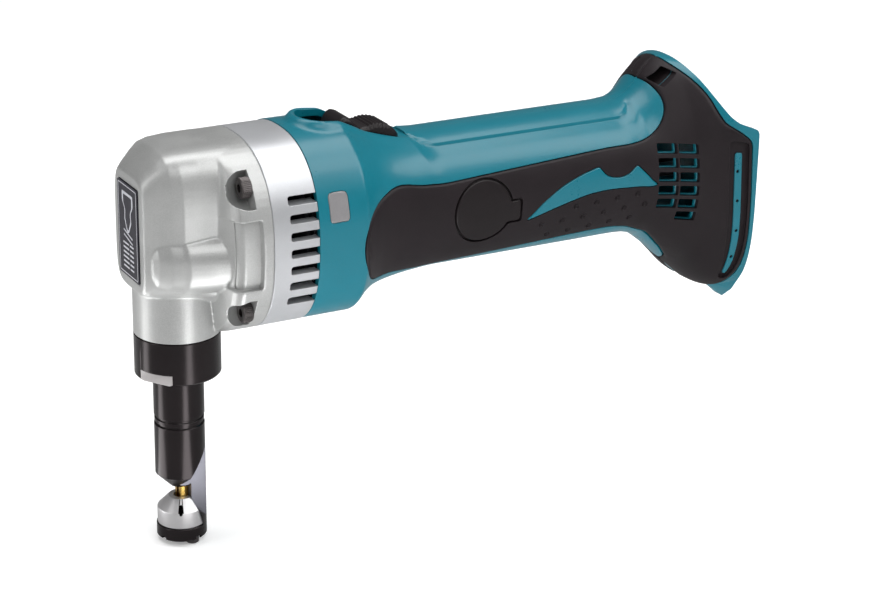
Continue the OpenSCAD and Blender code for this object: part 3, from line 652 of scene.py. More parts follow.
def tab_lid_outline(grow=0.0):
    """Brush cover: a disc with a small lifting tab on its rear edge."""
    r, tab_x, low, high = LID_R + grow, 17.0 + grow, -6.2 - grow, 2.4 + grow
    start, stop = math.asin(high / r), 2 * math.pi + math.asin(low / r)
    points = [(LID[0] + r * math.cos(t), LID[2] + r * math.sin(t)) for t in np.linspace(start, stop, 64)]
    points += [(LID[0] + tab_x - 0.8, LID[2] + low), (LID[0] + tab_x, LID[2] + low + 1),
               (LID[0] + tab_x, LID[2] + high - 1), (LID[0] + tab_x - 0.8, LID[2] + high)]
    return np.array([(x, skin.v_at_z(x, z) * skin.length(x)) for x, z in points])


# ---- plastic body ----

REAR_CURVE = [(246.02, -30), (246.02, 75.6), (241.5, 77.2), (236, 79.6), (231.7, 83), (228.9, 87.2),
              (226.8, 91.6), (224.9, 96.4), (222.8, 101), (221.2, 106)]
SHELL_XS = np.unique(np.concatenate([np.arange(SHELL_X + 0.05, 100, 0.7), np.arange(100, 190, 2.0),
                                     np.arange(190, REAR_X, 0.9), [SHOULDER_X, REAR_X]]))
CHANNEL = rounded([(52.2, -8.9), (52.2, 8.9), (97.2, 8.9), (97.2, -8.9)], [8.5, 8.5, 3, 3], 10)
DECK_Z = 84.7
VENT_ROWS = [69.4, 63.6, 57.8, 52, 46.2, 40.4]
VENT_COLUMNS = [(204.9, 211.6), (212.9, 219.2)]
VENT_HALF = 1.75
SCREW_SITES = [(72, 27.5), (146.5, 41), (146.5, 66), (185.5, 40), (228, 20)]
THREAD_R = 2.15


def on_side(side):
    """What is modelled for the left side is mirrored when the side is the right one."""
    return (lambda mesh: mesh) if side < 0 else mirrored


def side_name(side):
    return "left" if side < 0 else "right"


def behind_rear_curve():
    return prism(rounded(REAR_CURVE + [(300, 110), (300, -30)], 2.5), "y", -FAR, 5)


def half_tube(thick, xs, columns=110):
    """The left half of the body as a wall of one thickness, closed at the seam."""
    v = np.linspace(0, 1, columns) ** 1.12
    rows = []
    for x in xs:
        outer = skin.offset(np.full(columns, x), v, np.zeros(columns))
        inner = skin.offset(np.full(columns, x), v, np.full(columns, -thick))
        rows.append(np.vstack([outer, inner[::-1]]))
    rows = np.array(rows)
    k = 2 * columns
    faces = loft(rows)[1][:-2]
    for base, flip in ((0, False), ((len(xs) - 1) * k, True)):
        for j in range(columns - 1):
            quad = (base + j, base + k - 1 - j, base + k - 2 - j, base + j + 1)
            faces.append(tuple(reversed(quad)) if flip else quad)
    return rows.reshape(-1, 3), faces


def half_core(inset, xs, columns=60):
    """The left half of the body as a full solid."""
    v = np.linspace(0, 1, columns)
    return loft([skin.offset(np.full(columns, x), v, np.full(columns, -inset)) for x in xs])


def vent_holes(grow=0.0):
    """Two columns of inlet slots; the lowest row has only its rear one."""
    cells = [(x0, x1, z) for z in VENT_ROWS for x0, x1 in VENT_COLUMNS]
    cells.remove((*VENT_COLUMNS[0], VENT_ROWS[-1]))
    half = VENT_HALF + grow
    outlines = [rounded(rectangle(x0 - grow, z - half, x1 + grow, z + half), 0.7, 4) for x0, x1, z in cells]
    return joined(*(prism(outline, "y", -FAR, -12) for outline in outlines))


def strap_hole(wall=0.0):
    """Slanting window for the strap through the whole body; wall grows it into its tunnel."""
    corners = np.array([(209.6, 94.2), (215.6, 99.2), (219.2, 97.4), (212.6, 91.9)])
    middle = corners.mean(axis=0)
    reach = np.linalg.norm(corners - middle, axis=1, keepdims=True)
    corners = middle + (corners - middle) * (1 + wall / reach)
    return prism(rounded(corners, 0.6), "y", -45, 45)


def in_strap_hole(c, n):
    """Whether a face belongs to the strap hole's tunnel; it looks up, down or along the body."""
    inside_hole = 209 < c[0] < 220 and 91.5 < c[2] < 99.6 and abs(c[1]) < 22
    return inside_hole and abs(n[1]) < 0.2 and c[2] < top_line(c[0]) - 1.2


def body_half(side):
    """One plastic shell; the left one is modelled and the right one mirrors it."""
    own = on_side(side)
    shell = solid("shell_" + side_name(side), own(half_tube(WALL, SHELL_XS)))
    cut(shell, own(patch(grown(GRIP, 0.18), ABOVE, 1.5, gap=3, open_edges=False)))
    if side < 0:
        cut(shell, patch(grown(LENS, 0.12), 2, 5, gap=3))

    wall = add(solid("wall", own(block((235, -FAR, -10), (237, -0.03, 77)))),
               own(prism(sloping_wall(), "y", -FAR, -0.03)))
    rail_x = REAR_X - 0.2
    rail = add(solid("rail", own(block((236.5, -37, 8), (rail_x, -30.5, 74.5)))),
               own(block((REAR_X - 3.5, -34, 12), (rail_x, -27, 74))))
    tunnel = solid("tunnel", strap_hole(2.2))
    keep(wall, own(half_core(2.1, np.arange(195, 246.1, 3.0))))
    keep(rail, own(half_core(2.1, np.arange(232, 246.1, 2.0))))
    keep(tunnel, own(half_core(1.9, np.arange(200, 230.1, 1.5))))
    add(shell, wall, rail, own(foot()), tunnel)

    cut(shell, own(behind_rear_curve()), prism(CHANNEL, "z", DECK_Z, 120), own(vent_holes()), strap_hole())
    if side > 0:
        cut(shell, *(rod("y", 12, FAR, 3.8, at=(x, 0, z), steps=32) for x, z in SCREW_SITES))
    for z in EAR_Z:
        cut(shell, own(rod("x", SHELL_X - 1, 54, THREAD_R, at=(0, -EAR_Y, z), steps=24)))
    piece(shell, "body", M["teal"], ["housing_" + side_name(side)], degrees=28)
    # the strap hole's tunnel walls are teal shell, coloured black here as painted shade inside the hole
    split_material(shell, M["black"], in_strap_hole)


def foot():
    """Wedge under the battery end, on each side of the middle."""
    front = [(238, y, z) for y, z in ((-26, 8), (-21.5, 3.6), (-17, 2.2), (-13, 2.6), (-13, 8))]
    back = [(REAR_X, y, z) for y, z in ((-31, 9), (-25, 0.8), (-18.6, -4.4), (-13, -4.5), (-13, 9))]
    return loft([front, back])


def sloping_wall():
    """Wall that closes the body in front of the battery, under the rear curve."""
    front = [(x - 8, z - 4) for x, z in REAR_CURVE[1:]]
    back = [(x - 5.5, z - 2.75) for x, z in REAR_CURVE[1:]]
    return front + back[::-1]


def grip_dimples():
    """Small round dents in staggered rows under the flash and forward of it."""
    radius, lift, lowest = 1.5, 0.85, 39.2
    dents = []
    for row in range(5):
        for i in range(18):
            x = 146 + 9.9 * i + (4.9 if row % 2 else 0) - 0.8 * row
            z = 50.9 - 5.3 * row + 0.035 * (x - 180)
            under_flash = 52.5 - max(0, 168 - x) * 0.42
            if x > 201.5 or not lowest <= z <= under_flash:
                continue
            v = skin.v_at_z(x, z)
            dents.append(ball(skin.offset(np.array(x), np.array(v), lift), radius, 16))
    return joined(*dents)


def rubber_half(side):
    own, tag = on_side(side), side_name(side)
    grip = solid("rubber_" + tag, own(patch(GRIP, 0.38, 1.42, lip=1.3, gap=1.6)))
    cut(grip, own(patch(grown(FLASH, 0.28), ABOVE, 4, gap=3)),
        own(patch(tab_lid_outline(0.85), ABOVE, 4, gap=3)),
        own(patch(REAR_CHANNEL, ABOVE, 0.95, gap=2)), own(vent_holes(0.4)), strap_hole(),
        own(grip_dimples()), own(behind_rear_curve()))
    if side > 0:
        cut(grip, *(rod("y", 12, FAR, 4, at=(x, 0, z), steps=32) for x, z in SCREW_SITES[1:]))
    piece(grip, "body", M["rubber"], ["grip_" + tag], degrees=30)


def flank_details(side):
    """Flash, brush cover and rear strip of one side."""
    own, tag = on_side(side), side_name(side)
    flash = solid("flash_" + tag, own(patch(FLASH, 0.55, 1.3, lip=0.55, gap=1.6)))
    piece(flash, "body", M["teal"])
    lid = solid("brush_lid_" + tag, own(patch(tab_lid_outline(), 0.55, 1.3, lip=0.7, gap=1.4)))
    add(lid, own(patch(tab_lid_outline(0.8), -0.75, 1.3, gap=1.4)))
    piece(lid, "body", M["black"], ["brush_cover_" + tag])
    strip = solid("rear_strip_" + tag, own(patch(REAR_STRIP, -0.35, 1.3, lip=0.3, gap=1.4)))
    dots = [rod("y", -FAR, -20, 0.75, at=(x, 0, z), steps=20) for x, z in STRIP_DOTS]
    cut(strip, own(joined(*dots)))
    piece(strip, "body", M["teal"])


def shell_screws():
    """Cross-head screws in the right shell, each sunk in its well."""
    screws = []
    for x, z in SCREW_SITES:
        sunk = 4.2 if x > 220 else 1.6
        top = -float(skin.point(np.array(x), np.array(skin.v_at_z(x, z)))[1]) - sunk
        screw = solid("screw", rod("y", top - 2.3, top, 3.5, at=(x, 0, z), bevel=0.3, steps=48))
        for wide, high in ((2, 0.4), (0.4, 2)):
            cut(screw, block((x - wide, top - 1, z - high), (x + wide, top + 1, z + high)))
        screws.append(add(screw, rod("y", -14.9, top - 1.5, 1.7, at=(x, 0, z), steps=24)))
    piece(melted("shell_screws_set", screws), "body", M["screw"], ["shell_screws"])


def melted(name, objects):
    """One object from several."""
    whole = add(objects[0], *objects[1:])
    whole.name = name
    return whole


def lamp():
    lens = solid("lamp_window", patch(LENS, 0.28, 2.4, lip=0.6, gap=1.2))
    piece(lens, "body", M["lens"], ["lamp_lens"])


# ---- switch ----

def knob():
    """Slide button: a nose to push against, a saddle and a ribbed pad."""
    profile = smooth_curve([(62.3, 87), (65, 91.8), (67.2, 94.8), (69.2, 95.9), (71.4, 95.3), (74, 92.8),
                            (76.4, 90.9), (78.6, 91), (83, 91.6), (87.5, 90.8), (91, 88.6), (93.4, 85.8)])
    plan = smooth_curve([(62.3, 3.8), (63.6, 5.8), (66, 7.3), (70, 8), (87.5, 8), (91.5, 7.2), (93.4, 5.6)])
    base_z = DECK_Z + 0.05
    ribs_from, ribs_to, rib_pitch, rib_height = 78.5, 90, 1.6, 0.28
    rows = []
    for x in np.arange(62.3, 93.41, 0.25):
        top, half = profile(x), plan(x)
        if ribs_from < x < ribs_to:
            wave = math.sin((x - ribs_from) * 2 * math.pi / rib_pitch)
            top += rib_height * wave * step(min(x - ribs_from, ribs_to - x))
        edge = min(2.2, (top - base_z) * 0.45)
        arc = [(half - edge + edge * math.sin(t), top - edge + edge * math.cos(t))
               for t in np.linspace(0, math.pi / 2, 6)]
        side = [(-half, base_z)] + [(-y, z) for y, z in arc[::-1]] + arc + [(half, base_z)]
        rows.append([(x, y, z) for y, z in side])
    obj = solid("slide_knob", loft(rows))
    piece(obj, "switch_slider", M["black"], ["switch_knob"], degrees=50)


# ---- metal housings ----

RING_W, RING_TOP, RING_LOW, RING_MIDDLE, RING_POWER = 37, 94.5, 17.5, 56, 2.4
SHELF_LOW, SHELF_HIGH = 42.3, 69.8


def oval(x, w, top, bottom, middle, n, k=72):
    """Superellipse across the body: half width w, from bottom to top, widest at middle."""
    a = np.linspace(0, 2 * np.pi, k, endpoint=False)
    h = np.where(np.sin(a) >= 0, top - middle, middle - bottom)
    y = w * np.sign(np.cos(a)) * np.abs(np.cos(a)) ** (2 / n)
    z = middle + h * np.sign(np.sin(a)) * np.abs(np.sin(a)) ** (2 / n)
    return np.stack([np.full(k, x), y, z], axis=1)


def remeshed(obj, voxel, rounds):
    """Melts overlapping solids into one casting with soft fillets."""
    modifier = obj.modifiers.new("melt", "REMESH")
    modifier.mode, modifier.voxel_size = "VOXEL", voxel * MM
    soften = obj.modifiers.new("soften", "SMOOTH")
    soften.factor, soften.iterations = 0.5, rounds
    bake(obj)


def gear_case():
    """Casting: body, side bulges, neck and rear mass melted together, then cut crisply."""
    front = HEAD_X
    main = loft([oval(*row) for row in (
        (front, 13.9, 83.2, 38.2, 60.5, 5), (front + 0.5, 14.8, 84.4, 37.2, 60.5, 5),
        (-16, 16.2, 86.6, 36.2, 60.7, 4.8), (-12, 18.4, 90.4, 35.7, 61, 4.6), (-9, 20.2, 92.7, 35.4, 61, 4.4),
        (-5, 22.2, 93.6, 35, 61, 4.2), (2, 23, 94, 34, 61, 4.2), (12, 23.8, 94.1, 30, 60, 4),
        (21, 24.5, 94.1, 26, 58, 3.6))])
    bulge = loft([oval(*row, 2.5) for row in (
        (-17, 14, 58, 43, 51), (-16, 17.3, 61, 41, 51), (-14.4, 19.6, 63, 39, 51),
        (-10, 22.8, 64.5, 37.5, 51),
        (-6, 24.8, 65.2, 36.8, 50.8), (-4.4, 25.9, 66, 36, 50.6), (4, 28, 66.4, 35.6, 50.4),
        (12, 29.6, 66.6, 35.4, 50.4))])
    case = solid("gear_case", joined(main, bulge, rod("z", 9, 44, NUT_R), rear_mass(EAR_STEP)))
    remeshed(put_in(case, ears()), 0.42, 2)
    strut_face = solid("strut_face", block((11.6, -FAR, SHELF_LOW), (20.6, FAR, SHELF_HIGH)))
    cut(case, block((SEAM_X - 0.02, -FAR, -20), (FAR, FAR, 130)),
        block((-FAR, -FAR, -20), (FAR, FAR, NUT_H + 0.1)),
        cut(strut_face, rear_mass(EAR_STEP + 0.3)))

    pocket_r, pocket_x, seat_x = 8.0, 17.0, 19.05
    arc = [(pocket_r * math.sin(a), pocket_x - pocket_r * math.cos(a))
           for a in np.linspace(0, math.pi / 2, 16)]
    pocket = arc + [(pocket_r, seat_x), (0, seat_x)]
    for side in (-1, 1):
        for z in EAR_Z:
            cut(case, lathe(pocket, 64, "x", (0, side * (EAR_Y + 3), z)),
                rod("x", 10, SEAM_X + 2, THREAD_R, at=(0, side * EAR_Y, z), steps=32))

    low, high = place("nameplate")
    recess = rounded(rectangle(low[1] - 0.35, low[2] - 0.35, high[1] + 0.35, high[2] + 0.35, False), 1.2)
    cut(case, prism(recess, "x", HEAD_X - 2, HEAD_X + 0.3),
        rod("z", 10, 24, 11.5), rod("z", 19.3, 53.3, 12.3))
    for x0, x1, radius, z in ((-15.3, -7, 9.5, 0), (-8.5, 6, 17, 0), (5.4, SEAM_X + 1, 22.1, 8)):
        cut(case, rod("x", x0, x1, radius, at=(0, 0, MOTOR_Z + z)))
    piece(case, "body", M["cast"], ["gear_housing"], degrees=40)


def rear_mass(step_in):
    """The rear of the casting, on the flange's outline; step_in is how far it stays inside it
    ahead of the flange."""
    flange_x = 20.7
    rows = [oval(8.0, 23.5, 94, 32, RING_MIDDLE, 2.6)]
    for x, w in ((10.1, 32.4), (11.0, 34.8), (12.2, 36.4), (13.4, 36.9)):
        rows.append(oval(x + 0.5 * step_in, w - step_in, 94.4, 17.6 + step_in, RING_MIDDLE, RING_POWER))
    rows.append(oval(flange_x, 36.9 - step_in, RING_TOP, RING_LOW + step_in, RING_MIDDLE, RING_POWER))
    rows.append(oval(flange_x + 1.1 * step_in + 0.1, 36.9, RING_TOP, RING_LOW, RING_MIDDLE, RING_POWER))
    rows.append(oval(SEAM_X, RING_W, RING_TOP, RING_LOW, RING_MIDDLE, RING_POWER))
    return loft(rows)


def ears():
    """The four ears: the parts of the rear mass that stand out to the flange's outline."""
    return cut(solid("ears", rear_mass(0)), block((0, -FAR, SHELF_LOW), (SEAM_X - 4.2, FAR, SHELF_HIGH)))


def put_in(obj, other):
    """Puts another object's mesh into an object, without cutting them at each other."""
    with edited(obj) as bm:
        bm.from_mesh(other.data)
    bpy.data.objects.remove(other)
    return obj


def name_badge():
    """Dark plate with a pale frame line, a plain line drawing and rows of plain bars."""
    low, high = place("nameplate")
    y0, y1, z0, z1 = low[1], high[1], low[2], high[2]
    face = low[0]
    back, top = face - 0.05, face + 0.1
    shape = rounded(rectangle(y0, z0, y1, z1, False), 1.0)
    plate = solid("name_badge", prism(shape, "x", face, HEAD_X + 0.28))
    piece(plate, "body", M["plate"], ["nameplate"])

    def line_loop(name, outer, inner):
        return cut(solid(name, prism(outer, "x", back, top)), prism(inner, "x", face - 1, face + 1))

    def inset(amount, radius):
        return rounded(rectangle(y0 + amount, z0 + amount, y1 - amount, z1 - amount, False), radius)

    line = line_loop("badge_lines", inset(0.8, 0.8), inset(0.8 + 0.35, 0.6))
    outline = np.array([(-5.4, -3.6), (-5.4, -8), (-3.2, -11), (-3.6, -15), (-0.9, -19.5), (0.7, -19.5),
                        (3.2, -14.5), (2.8, -10.5), (5.2, -7.5), (5.2, -3.6)]) + [0, z1]
    centre = np.array([0, z1 - 11.5])
    core = centre + (outline - centre) * [0.78, 0.86]
    mark = line_loop("mark", rounded(outline, 0.6), rounded(core, 0.6))
    bars = [block((back, y, z), (top, y + length, z + 0.7))
            for y, length in ((-5.2, 3.6), (-0.6, 5.6)) for z in np.arange(z0 + 3.4, z0 + 14, 1.9)]
    slants = [prism([(-4.4, z), (-4.4, z + 0.6), (4.2, z + 2.6), (4.2, z + 2)], "x", back, top)
              for z in (z0 + 16.2, z0 + 14.2)]
    add(line, joined(*bars, *slants), mark)
    piece(line, "body", M["plate_print"])


def vent_ring():
    """Ring between the casting and the shells, with seven open slots on each side."""
    between = list(np.arange(SEAM_X + 1, SHELL_X - 0.5, 1.5))
    xs = [SEAM_X, SEAM_X + 0.25] + between + [SHELL_X - 0.3, SHELL_X - 0.02]
    rows = []
    for x in xs:
        inset = 0.3 if x in (xs[0], xs[-1]) else 0
        rows.append(oval(x, RING_W - inset, RING_TOP - inset, RING_LOW + inset, RING_MIDDLE, RING_POWER, 160))
    ring = solid("vent_ring", loft(rows))
    cut(ring, rod("x", 31.5, SHELL_X + 1, 33, at=(0, 0, MOTOR_Z), steps=96),
        rod("x", SEAM_X - 1, 32, 9.55, at=(0, 0, MOTOR_Z)))
    first, pitch, count, half = 34.8, 6.75, 7, 1.75
    slots = []
    for z in first + pitch * np.arange(count):
        slot = rounded(rectangle(32, z - half, SHELL_X + 1, z + half), [1.2, 0.01, 0.01, 1.2])
        slots.append(prism(slot, "y", -FAR, -20))
    cut(ring, both_sides(joined(*slots)))
    piece(ring, "body", M["ring"], ["middle_housing"], degrees=30)


def ear_screws():
    """Socket head screws in the four ears, with a knurled rim and a hex socket."""
    count, radius, knurl_depth = 72, 4.0, 0.12
    a = np.linspace(0, 2 * np.pi, count, endpoint=False)
    knurl = radius + knurl_depth * np.where(np.arange(count) % 2, 1, -1)
    screws = []
    for side in (-1, 1):
        for z in EAR_Z:
            at = (0, side * EAR_Y, z)
            rows = []
            for x, shrink, wavy in ((15, 0.5, 0), (15.4, 0.05, 1), (18.4, 0.05, 1), (18.95, 0.15, 0)):
                r = (knurl if wavy else np.full(count, radius)) - shrink
                y = side * EAR_Y + r * np.cos(a)
                rows.append(np.stack([np.full(count, x), y, z + r * np.sin(a)], axis=1))
            head = cut(solid("head", loft(rows)), rod("x", 14, 17.6, 1.85, at=at, steps=6))
            screws.append(add(head, rod("x", 18.5, 54, 2, at=at, steps=32)))
    piece(melted("ear_screws", screws), "body", M["screw"], ["head_screws"])


# ---- cutting head ----

FLAT_ANGLES = (35, 215)
FLANK_Y = 5.4
THROAT_Z, DIE_LOW_Z, BASE_LOW_Z = -53.7, -65, -70.5
DIE_SCREWS = ((1.9, -6, 0), (-1.9, 6, 0))


def split_material(obj, other, test):
    """Gives the faces that pass the test a second material; test gets centre in mm and normal."""
    obj.data.materials.append(other)
    for face in obj.data.polygons:
        if test(np.array(face.center) / MM, np.array(face.normal)):
            face.material_index = 1


def nut():
    r, b = NUT_R, 0.6
    profile = [(TUBE_R + 0.1, 0), (r - b, 0), (r, b), (r, NUT_H - b), (r - b, NUT_H), (14.1, NUT_H),
               (14.1, 3), (TUBE_R + 0.1, 3)]
    obj = solid("clamp_nut", lathe(profile, 128))
    reach, flat_top = r - 1.6, 4.4
    for angle in FLAT_ANGLES:
        cut(obj, turned(block((reach, -12, -1), (22, 12, flat_top)), angle))
    piece(obj, "nut", M["black_steel"], ["lock_nut"], degrees=30)

    def on_flat(c, n):
        return abs(n[2]) < 0.1 and c[2] < flat_top and any(
            abs(c[0] * math.cos(math.radians(a)) + c[1] * math.sin(math.radians(a)) - reach) < 0.1
            for a in FLAT_ANGLES)
    split_material(obj, M["bare"], on_flat)


def holder():
    """Die holder tube with its groove, sheet throat, milled rear column and base ring."""
    r, groove, b = TUBE_R, 0.7, 0.25
    tube = [(0, 5.9), (12.8, 5.9), (12.8, 3.1), (r - 0.2, 3.1), (r - 0.2, -0.9), (r, -1.1), (r, -18 + b),
            (r - b, -18), (r - groove, -18.2), (r - groove, -18.9), (r - 0.2, -19.1), (r - 0.2, -20.4),
            (r - groove, -20.6), (r - groove, -21.4), (r - b, -21.5), (r, -21.5 - b),
            (r, -43), (4.4, -48.7), (0, -48.7)]
    base = [(0, -65.1), (r - b, -65.1), (r, -65.1 - b), (r, -70), (r - 0.5, BASE_LOW_Z), (0, BASE_LOW_Z)]
    back = [(2.2, -41), (2.2, THROAT_Z), (6, DIE_LOW_Z), (6, -70), (20, -70), (20, -41)]
    column = keep(solid("column", rod("z", -66, -42, r, steps=128)), prism(back, "y", -20, 20))
    obj = add(solid("die_tube", lathe(tube, 128)), column, lathe(base, 128))
    flank = [(-4, -48.65), (11.5, -27.9), (11.5, -65.3), (4, -58.2), (-4, -57)]
    bore = [(0, 10), (5.03, 10), (5.03, -41), (3.03, -41), (3.03, -66), (0, -66)]
    cut(obj, prism(flank, "y", -12, -FLANK_Y), prism(flank, "y", FLANK_Y, 12), lathe(bore, 64),
        rod("z", 2.9, 8, 9.4, steps=64), rod("z", -72, -64, 4, steps=64))
    for at in DIE_SCREWS:
        cut(obj, rod("z", -72, -69.4, 2.9, at=at, steps=48), rod("z", -70, -64, 1.6, at=at, steps=32))
    for angle in (20, 110, 200, 290):
        cut(obj, turned(block((8.4, -1.3, -71), (11, 1.3, -69)), angle))
    piece(obj, "die_head", M["black_steel"], ["die_holder"], degrees=30)

    def milled(c, n):
        on_flank = abs(n[1]) > 0.98 and abs(abs(c[1]) - FLANK_Y) < 0.05
        return DIE_LOW_Z < c[2] < -26 and (on_flank or (n[0] < -0.9 and c[2] < -48))
    split_material(obj, M["milled"], milled)


def cutting_die():
    """Die with its round cutting hole, a sloping back and a narrow chip window."""
    profile = [(0, -64.95), (9.3, -64.95), (9.6, -64.7), (9.6, -58.5), (9.4, -58.1), (5.1, -53.8),
               (4.9, THROAT_Z), (0, THROAT_Z)]
    obj = solid("cutting_die", lathe(profile, 128))
    angle, half_w, tall, window_z = 246, 0.85, 2.2, -57.3
    window = rod("x", 3.6, 14, half_w, steps=40)
    window = np.asarray(window[0]) * [1, 1, tall] + [0, 0, window_z], window[1]
    back = [(2.15, -40), (2.15, THROAT_Z), (5.95, DIE_LOW_Z), (5.95, -80), (30, -80), (30, -40)]
    cut(obj, rod("z", -66, -50, 3.06, steps=64), rod("z", -66, -60.5, 4, steps=64), turned(window, angle),
        prism(back, "y", -20, 20), *(rod("z", -66, -60, 1.42, at=at, steps=32) for at in DIE_SCREWS))
    piece(obj, "die_head", M["bright"], ["die"], degrees=30)
    across = math.radians(angle + 90)

    def in_window(c, n):
        sideways = c[0] * math.cos(across) + c[1] * math.sin(across)
        off = math.hypot(sideways / (half_w + 0.02), (c[2] - window_z) / (half_w * tall + 0.06))
        return off < 1 and c[1] < 0 and math.hypot(c[0], c[1]) < 9.2
    # the window's faces are bright steel, coloured blackened steel here as painted shade inside the window
    split_material(obj, M["black_steel"], in_window)


def punch_tool():
    """Punch: a wide guide part, a narrow lower part and the notched cutting tip."""
    profile = [(0, 15), (4.3, 15), (4.5, 14.8), (4.5, 11.6), (2.5, 11.4), (2.5, 8.8), (4.8, 8.8), (5, 8.6),
               (5, -33.8), (4.8, -34), (3, -34), (3, -63.8), (2.8, -64), (0, -64)]
    obj = solid("punch_bar", lathe(profile, 96))
    cut(obj, block((-4, -1, -65), (0.6, 1, -47.4)), block((-4, -4, -57.4), (-1.4, 4, -47.4)))
    piece(obj, "punch", M["gold"], ["punch"], degrees=30)


def base_screws():
    heads = []
    for at in DIE_SCREWS[::-1]:
        head = solid("head", rod("z", -72.5, -69.5, 2.7, at=at, bevel=0.3, steps=48))
        cut(head, rod("z", -73, -71.1, 1.3, at=at, steps=6))
        heads.append(add(head, rod("z", -71, -60.4, 1.4, at=at, steps=32)))
    piece(melted("base_screws", heads), "die_head", M["screw"], ["die_screws"])


# ---- pieces that keep their CAD mesh ----

def grey(level):
    return level, level, level + 0.02


# colour, roughness and metal of each node
INNER = {
    "lamp_board": ((0.01, 0.1, 0.03), 0.5, 0), "brush_caps": ((0.02,) * 3, 0.5, 0),
    "brush_holders": ((0.7, 0.46, 0.18), 0.3, 1), "brushes": ((0.03,) * 3, 0.6, 0.1),
    "brush_springs": (grey(0.6), 0.3, 1), "switch_lever": ((0.02,) * 3, 0.45, 0),
    "switch_body": ((0.025, 0.025, 0.03), 0.5, 0), "controller": ((0.02, 0.02, 0.025), 0.5, 0),
    "terminal_block": ((0.55, 0.4, 0.01), 0.4, 0), "terminal_blades": ((0.85, 0.45, 0.2), 0.25, 1),
    "lead_wires": ((0.02, 0.02, 0.024), 0.4, 0), "motor_yoke": ((0.35, 0.36, 0.38), 0.35, 0.9),
    "magnets": ((0.05, 0.05, 0.055), 0.55, 0.2), "motor_shaft": (grey(0.62), 0.25, 1),
    "armature_core": (grey(0.28), 0.4, 0.9), "windings": ((0.6, 0.2, 0.05), 0.3, 0.8),
    "commutator": ((0.8, 0.38, 0.15), 0.3, 1), "fan": ((0.02, 0.02, 0.022), 0.5, 0),
    "baffle": ((0.03,) * 3, 0.5, 0), "motor_front_bearing": (grey(0.6), 0.25, 1),
    "motor_rear_bearing": (grey(0.6), 0.25, 1), "countershaft": (grey(0.55), 0.28, 1),
    "reduction_gear": (grey(0.45), 0.32, 1), "countershaft_bushes": ((0.6, 0.42, 0.18), 0.4, 0.9),
    "gear_plate": ((0.45, 0.45, 0.46), 0.4, 0.8), "gear_plate_screws": ((0.15, 0.15, 0.16), 0.35, 0.9),
    "crankshaft": (grey(0.58), 0.25, 1), "crank_gear": (grey(0.45), 0.32, 1),
    "crank_bearings": (grey(0.6), 0.25, 1), "rod_bearing": (grey(0.55), 0.3, 1),
    "connecting_rod": (grey(0.38), 0.38, 0.9), "wrist_pin": (grey(0.62), 0.22, 1),
    "piston": (grey(0.45), 0.3, 1), "guide_bush": ((0.6, 0.42, 0.18), 0.38, 0.9),
}


def inner_parts():
    for node, (color, rough, metal) in INNER.items():
        finish = material(node + "_finish", color, rough, metal, grain=0.6, bump=0.006, vary=0.12)
        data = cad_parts[node].data
        data.materials.clear()
        data.materials.append(finish)


# ---- studio ----

def level_by_ray(tree, socket, seen, in_gloss):
    """Sets one level for what is seen directly and another for glossy reflections."""
    path = tree.nodes.new("ShaderNodeLightPath")
    level = ranged(tree, path.outputs["Is Glossy Ray"], (0, 1), (seen, in_gloss))
    tree.links.new(level, socket)


def area_light(name, at, rotation, size, power):
    light = bpy.data.lights.new(name, "AREA")
    light.shape, light.energy = "RECTANGLE", power
    light.size, light.size_y = size
    lamp = bpy.data.objects.new(name, light)
    lamp.location, lamp.rotation_euler = at, rotation
    bpy.context.scene.collection.objects.link(lamp)
    return lamp


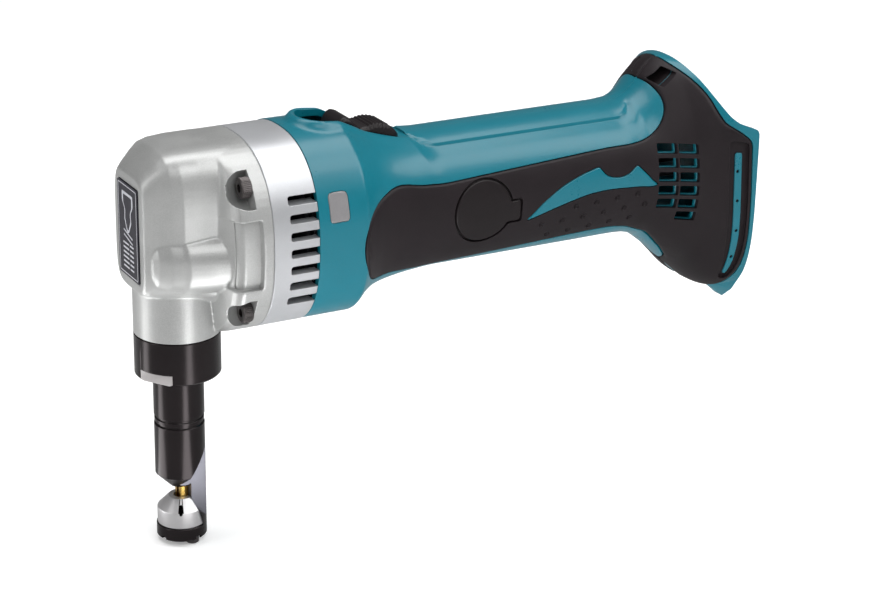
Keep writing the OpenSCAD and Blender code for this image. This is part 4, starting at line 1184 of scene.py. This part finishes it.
def studio():
    floor_z, size = cad_box[0][2], 6.0
    data = bpy.data.meshes.new("floor")
    corners = rectangle(-size, -size, size, size)
    data.from_pydata([(x, y, floor_z - 0.0002) for x, y in corners], [], [(0, 1, 2, 3)])
    floor = bpy.data.objects.new("floor", data)
    bpy.context.scene.collection.objects.link(floor)
    pale = bpy.data.materials.new("pale_floor")
    pale.use_nodes = True
    shader = pale.node_tree.nodes["Principled BSDF"]
    shader.inputs["Roughness"].default_value = 0.9
    shader.inputs["Emission Color"].default_value = (1, 1, 1, 1)
    level_by_ray(pale.node_tree, shader.inputs["Base Color"], 0.92, 0.32)
    level_by_ray(pale.node_tree, shader.inputs["Emission Strength"], 0.26, 0.06)
    data.materials.append(pale)

    target = Vector((0.10, 0, 0.05))
    for name, at, size, power in (
            ("key", (0.05, -0.95, 1.0), (1.0, 0.7), 5.8), ("rim", (0.72, -0.42, 0.85), (0.5, 0.9), 4.6),
            ("side", (-1.05, -0.05, 0.45), (0.22, 0.9), 2), ("top", (0.1, 0.25, 1.3), (1.6, 0.7), 11)):
        area_light(name, at, (target - Vector(at)).to_track_quat("-Z", "Y").to_euler(), size, power)
    # low strips of light run out from the cutting head and give the round steel its streaks
    for name, degrees, width in (("streak_right", 277, 0.05), ("streak_left", 158, 0.06)):
        turn, away = math.radians(degrees), 0.3
        at = (away * math.cos(turn), away * math.sin(turn), floor_z + 0.002)
        area_light(name, at, (math.pi, 0, turn), (0.5, width), 0.4).visible_camera = False

    world = bpy.data.worlds.new("studio")
    bpy.context.scene.world = world
    world.use_nodes = True
    background = world.node_tree.nodes["Background"]
    background.inputs["Color"].default_value = (1, 1, 1, 1)
    level_by_ray(world.node_tree, background.inputs["Strength"], 0.42, 0.14)
    bpy.context.scene.view_settings.view_transform = "Standard"


def camera():
    """Looks down from the front left, along the handle's near flank."""
    at = Vector((-0.3319, -0.8063, 0.3690))
    turn, tilt, roll = math.radians(29), math.radians(21.3), math.radians(1.0)
    right = Vector((math.cos(turn), -math.sin(turn), 0))
    forward = Vector((math.sin(turn) * math.cos(tilt), math.cos(turn) * math.cos(tilt), -math.sin(tilt)))
    up = right.cross(forward)
    basis = Matrix((right, up, -forward)).transposed() @ Matrix.Rotation(roll, 3, "Z")
    data = bpy.data.cameras.new("camera")
    data.lens, data.sensor_width = 99.1, 36
    obj = bpy.data.objects.new("camera", data)
    obj.matrix_world = Matrix.Translation(at) @ basis.to_4x4()
    bpy.context.scene.collection.objects.link(obj)
    bpy.context.scene.camera = obj


for half in (-1, 1):
    body_half(half)
    rubber_half(half)
    flank_details(half)
shell_screws()
lamp()
knob()
gear_case()
name_badge()
vent_ring()
ear_screws()
nut()
holder()
cutting_die()
punch_tool()
base_screws()
inner_parts()
studio()
camera()
